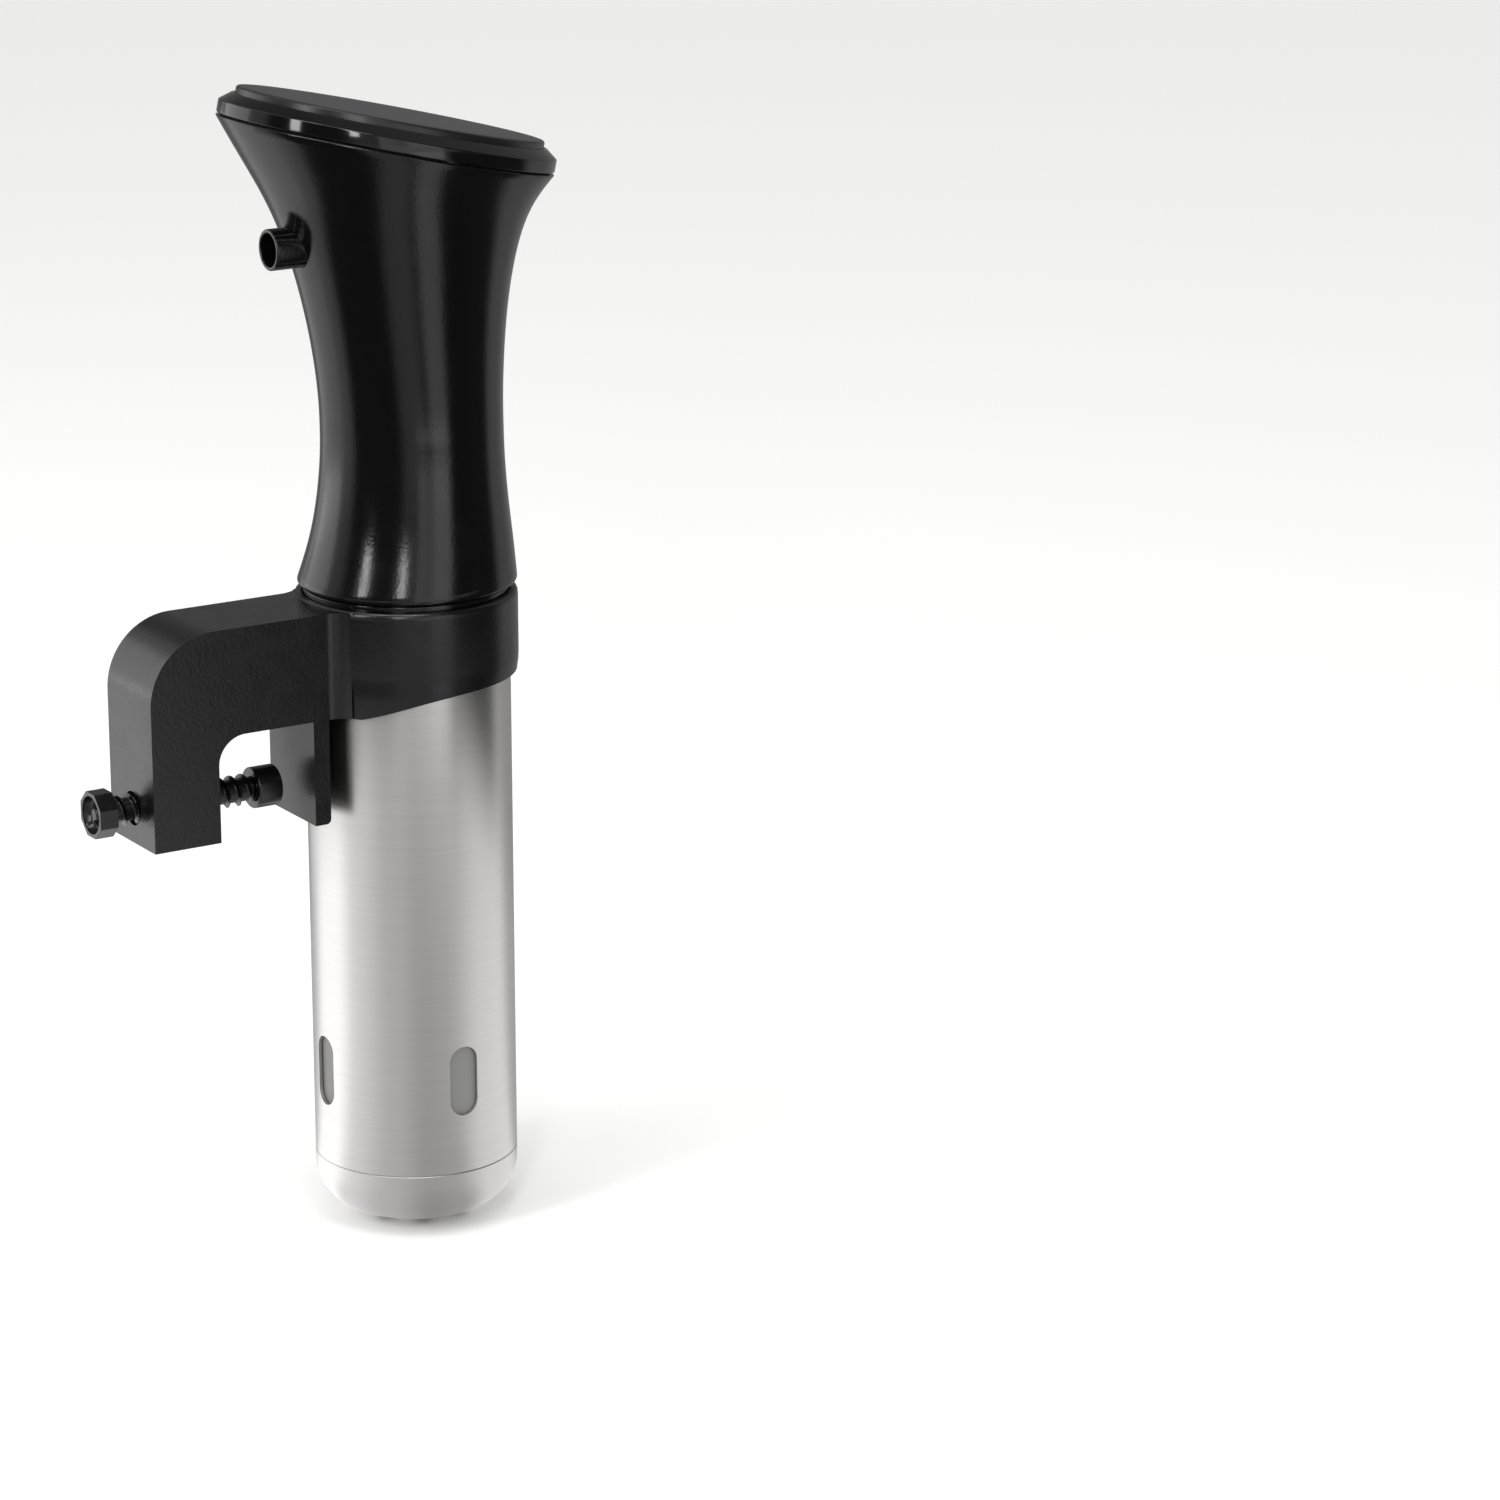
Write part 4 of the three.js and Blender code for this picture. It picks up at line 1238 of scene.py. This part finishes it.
@dataclass
class Studio:
    """The floor, the sky, the lights and the camera.

    Attributes:
        camera_at: Place of the camera from the sleeve's axis, in metres.
        azimuth: Azimuth that the camera looks from, in degrees.
        elevation: How far the camera looks down, in degrees.
        lens: Focal length, in millimetres.
        floor_colour: sRGB colour of the floor.
        sky_strength: Strength of the even sky.
        high_painted_reflection: Azimuth and level of the painted reflection, pale and dark bands,
            that high pieces mirror.
        low_painted_reflection: The same painted reflection for low pieces.
        low_top: Heights over the floor, in metres, between which low turns to high.
        piece_radius: Half width of a usual piece, in metres.
        lights: The softboxes.
    """

    camera_at: tuple[float, float, float] = (-0.6903, -1.2736, 0.3715)
    azimuth: float = -32.402
    elevation: float = 16.229
    lens: float = 123.6
    floor_colour: int = 0xF4F4F2
    sky_strength: float = 0.9
    # Painted reflection: pale and dark bands by azimuth, fixed in the world, that gloss sees in the
    # floor and sky.
    high_painted_reflection: PaintedReflection = (
        (-150, 0.20), (-140, 0.8), (-96, 1.0), (-80, 0.7), (-66, 0.04), (-14, 0.03), (0, 0.45),
        (16, 0.5), (25, 0.2), (33, 0.95), (46, 0.9), (55, 0.03), (104, 0.05), (118, 0.5),
        (138, 0.35), (180, 0.3),
    )
    low_painted_reflection: PaintedReflection = (
        (-160, 0.4), (-134, 0.6), (-112, 1.6), (-84, 1.7), (-62, 1.0), (-20, 0.62), (16, 0.38),
        (40, 0.44), (72, 0.95), (112, 1.05), (136, 0.5), (180, 0.4),
    )
    low_top: tuple[float, float] = (0.125, 0.165)
    piece_radius: float = 0.024
    lights: tuple[Softbox, ...] = (
        Softbox("broad_right", 30, 8, 1.3, (0.9, 0.8), 1.5),
        Softbox("spot_left", -46, 28, 1.2, (0.16, 0.75), 3.4),
        Softbox("spot_front", -4, 29, 1.2, (0.12, 0.75), 2.8),
        Softbox("panel_left_rear", -112, 10, 1.3, (0.9, 0.8), 2.0),
        Softbox("window_left", -50, 72, 1.3, (0.3, 0.6), 3.0),
        Softbox("window_right", 15, 72, 1.3, (0.25, 0.6), 2.5),
    )

    def painted_reflection_level(self, tree: Tree, place: Socket, painted_reflection: PaintedReflection) -> Socket:
        """Return how bright the painted reflection stands in each direction, as gloss picks it up.

        Args:
            tree: Node tree of the floor or the sky.
            place: Direction from the object.
            painted_reflection: Angle from the main view's side, fixed in the world, and level of
                each band of the painted reflection.

        Returns:
            Level in that direction.
        """
        turned_place = add_node(
            tree, "ShaderNodeMapping", values={"Rotation": (0.0, 0.0, -math.radians(self.azimuth))},
            links={"Vector": place},
        )
        around = add_node(
            tree, "ShaderNodeTexGradient", settings={"gradient_type": "RADIAL"},
            links={"Vector": turned_place.outputs["Vector"]},
        )
        ramp = add_node(tree, "ShaderNodeValToRGB", links={"Fac": around.outputs["Fac"]})
        ramp.color_ramp.interpolation = "EASE"
        stops = sorted(((angle / 360 + 0.25) % 1.0, level) for angle, level in painted_reflection)
        ends = ramp.color_ramp.elements
        while len(ends) < len(stops):
            ends.new(0.5)
        for end, (position, level) in zip(ends, stops):
            end.position = position
            end.color = (level / BRIGHTEST_PAINTED_REFLECTION, level / BRIGHTEST_PAINTED_REFLECTION, level / BRIGHTEST_PAINTED_REFLECTION, 1.0)
        return ramp.outputs["Color"]

    def floor_material(self, foot: Vector) -> bpy.types.Material:
        """Return the matt floor, which rays from gloss see glowing with a painted reflection and
        not as paint.

        Args:
            foot: Point of the floor under the sleeve.

        Returns:
            The new material.
        """
        material = bpy.data.materials.new("matt_floor_with_painted_reflection")
        material.use_nodes = True
        tree = material.node_tree
        tree.nodes.clear()
        path = add_node(tree, "ShaderNodeLightPath")
        surface = add_node(tree, "ShaderNodeNewGeometry")
        place = add_node(
            tree, "ShaderNodeVectorMath", settings={"operation": "SUBTRACT"},
            values={1: foot}, links={0: surface.outputs["Position"]},
        )
        # How high the mirroring piece stands: the long side of a triangle and its level side.
        away = add_node(
            tree, "ShaderNodeVectorMath", settings={"operation": "LENGTH"},
            links={0: place.outputs[0]},
        )
        level_side = add_node(
            tree, "ShaderNodeMath", settings={"operation": "SUBTRACT"},
            values={1: self.piece_radius}, links={0: away.outputs["Value"]},
        )
        level_square, long_square = (
            add_node(
                tree, "ShaderNodeMath", settings={"operation": "MULTIPLY"}, links={0: side, 1: side}
            )
            for side in (level_side.outputs["Value"], path.outputs["Ray Length"])
        )
        height_square = add_node(
            tree, "ShaderNodeMath", settings={"operation": "SUBTRACT"},
            links={0: long_square.outputs["Value"], 1: level_square.outputs["Value"]},
        )
        high = add_node(
            tree, "ShaderNodeMapRange",
            values={"From Min": self.low_top[0] ** 2, "From Max": self.low_top[1] ** 2},
            links={"Value": height_square.outputs["Value"]},
        )
        level = add_node(
            tree, "ShaderNodeMix", settings={"data_type": "RGBA"},
            links={
                0: high.outputs["Result"],
                6: self.painted_reflection_level(tree, place.outputs[0], self.low_painted_reflection),
                7: self.painted_reflection_level(tree, place.outputs[0], self.high_painted_reflection),
            },
        )
        # Painted reflection: for rays from gloss the floor glows in these bands, though it is no
        # lamp.
        painted_reflection_glow = add_node(
            tree, "ShaderNodeEmission", values={"Strength": BRIGHTEST_PAINTED_REFLECTION},
            links={"Color": level.outputs[2]},
        )
        paint = add_node(
            tree, "ShaderNodeBsdfDiffuse", values={"Color": linear(self.floor_colour)}
        )
        either = add_node(
            tree, "ShaderNodeMixShader",
            links={0: path.outputs["Is Glossy Ray"], 1: paint.outputs["BSDF"],
                   2: painted_reflection_glow.outputs["Emission"]},
        )
        add_node(tree, "ShaderNodeOutputMaterial", links={"Surface": either.outputs["Shader"]})
        return material

    def build_sky(self) -> None:
        """Build an even sky, which rays from gloss see as a painted reflection of bands round the
        object.
        """
        world = bpy.data.worlds.new("studio")
        bpy.context.scene.world = world
        world.use_nodes = True
        tree = world.node_tree
        tree.nodes.clear()
        path = add_node(tree, "ShaderNodeLightPath")
        place = add_node(tree, "ShaderNodeTexCoord").outputs["Generated"]
        plain = add_node(
            tree, "ShaderNodeBackground",
            values={"Color": linear(0xFFFFFF), "Strength": self.sky_strength},
        )
        # Painted reflection: rays from gloss see the sky as pale and dark bands round the object.
        painted_reflection = add_node(
            tree, "ShaderNodeBackground", values={"Strength": BRIGHTEST_PAINTED_REFLECTION * 0.7},
            links={"Color": self.painted_reflection_level(tree, place, self.high_painted_reflection)},
        )
        either = add_node(
            tree, "ShaderNodeMixShader",
            links={0: path.outputs["Is Glossy Ray"], 1: plain.outputs["Background"],
                   2: painted_reflection.outputs["Background"]},
        )
        add_node(tree, "ShaderNodeOutputWorld", links={"Surface": either.outputs["Shader"]})

    def build(self) -> None:
        """Build the studio round the object."""
        low, high = CAD_BOX
        centre = Vector((ORIGIN.x, ORIGIN.y, (low.z + high.z) / 2))
        mesh = bpy.data.meshes.new("floor")
        reach = 6.0
        corners = [(-reach, -reach), (reach, -reach), (reach, reach), (-reach, reach)]
        height = low.z - 0.0005
        mesh.from_pydata([(x, y, height) for x, y in corners], [], [(0, 1, 2, 3)])
        floor = bpy.data.objects.new("floor", mesh)
        bpy.context.scene.collection.objects.link(floor)
        floor.data.materials.append(self.floor_material(Vector((ORIGIN.x, ORIGIN.y, height))))
        self.build_sky()
        for light in self.lights:
            light.build(centre, self.azimuth)
        camera = bpy.data.cameras.new("camera")
        camera.lens = self.lens
        camera.sensor_width = 36.0
        camera.clip_start, camera.clip_end = 0.05, 30.0
        item = bpy.data.objects.new("camera", camera)
        bpy.context.scene.collection.objects.link(item)
        item.location = Vector(self.camera_at) + ORIGIN
        item.rotation_euler = (
            math.radians(90 - self.elevation), 0.0, math.radians(self.azimuth)
        )
        bpy.context.scene.camera = item
        view = bpy.context.scene.view_settings
        view.view_transform = "Standard"
        view.look = "None"


def main() -> None:
    """Build the object's sub-assemblies in order, then the studio."""
    for part in (Head(), WetEnd(), Clamp(), Inside(INNER_FINISHES), Studio()):
        LOG.info("%s", type(part).__name__)
        part.build()


if __name__ == "__main__":
    main()
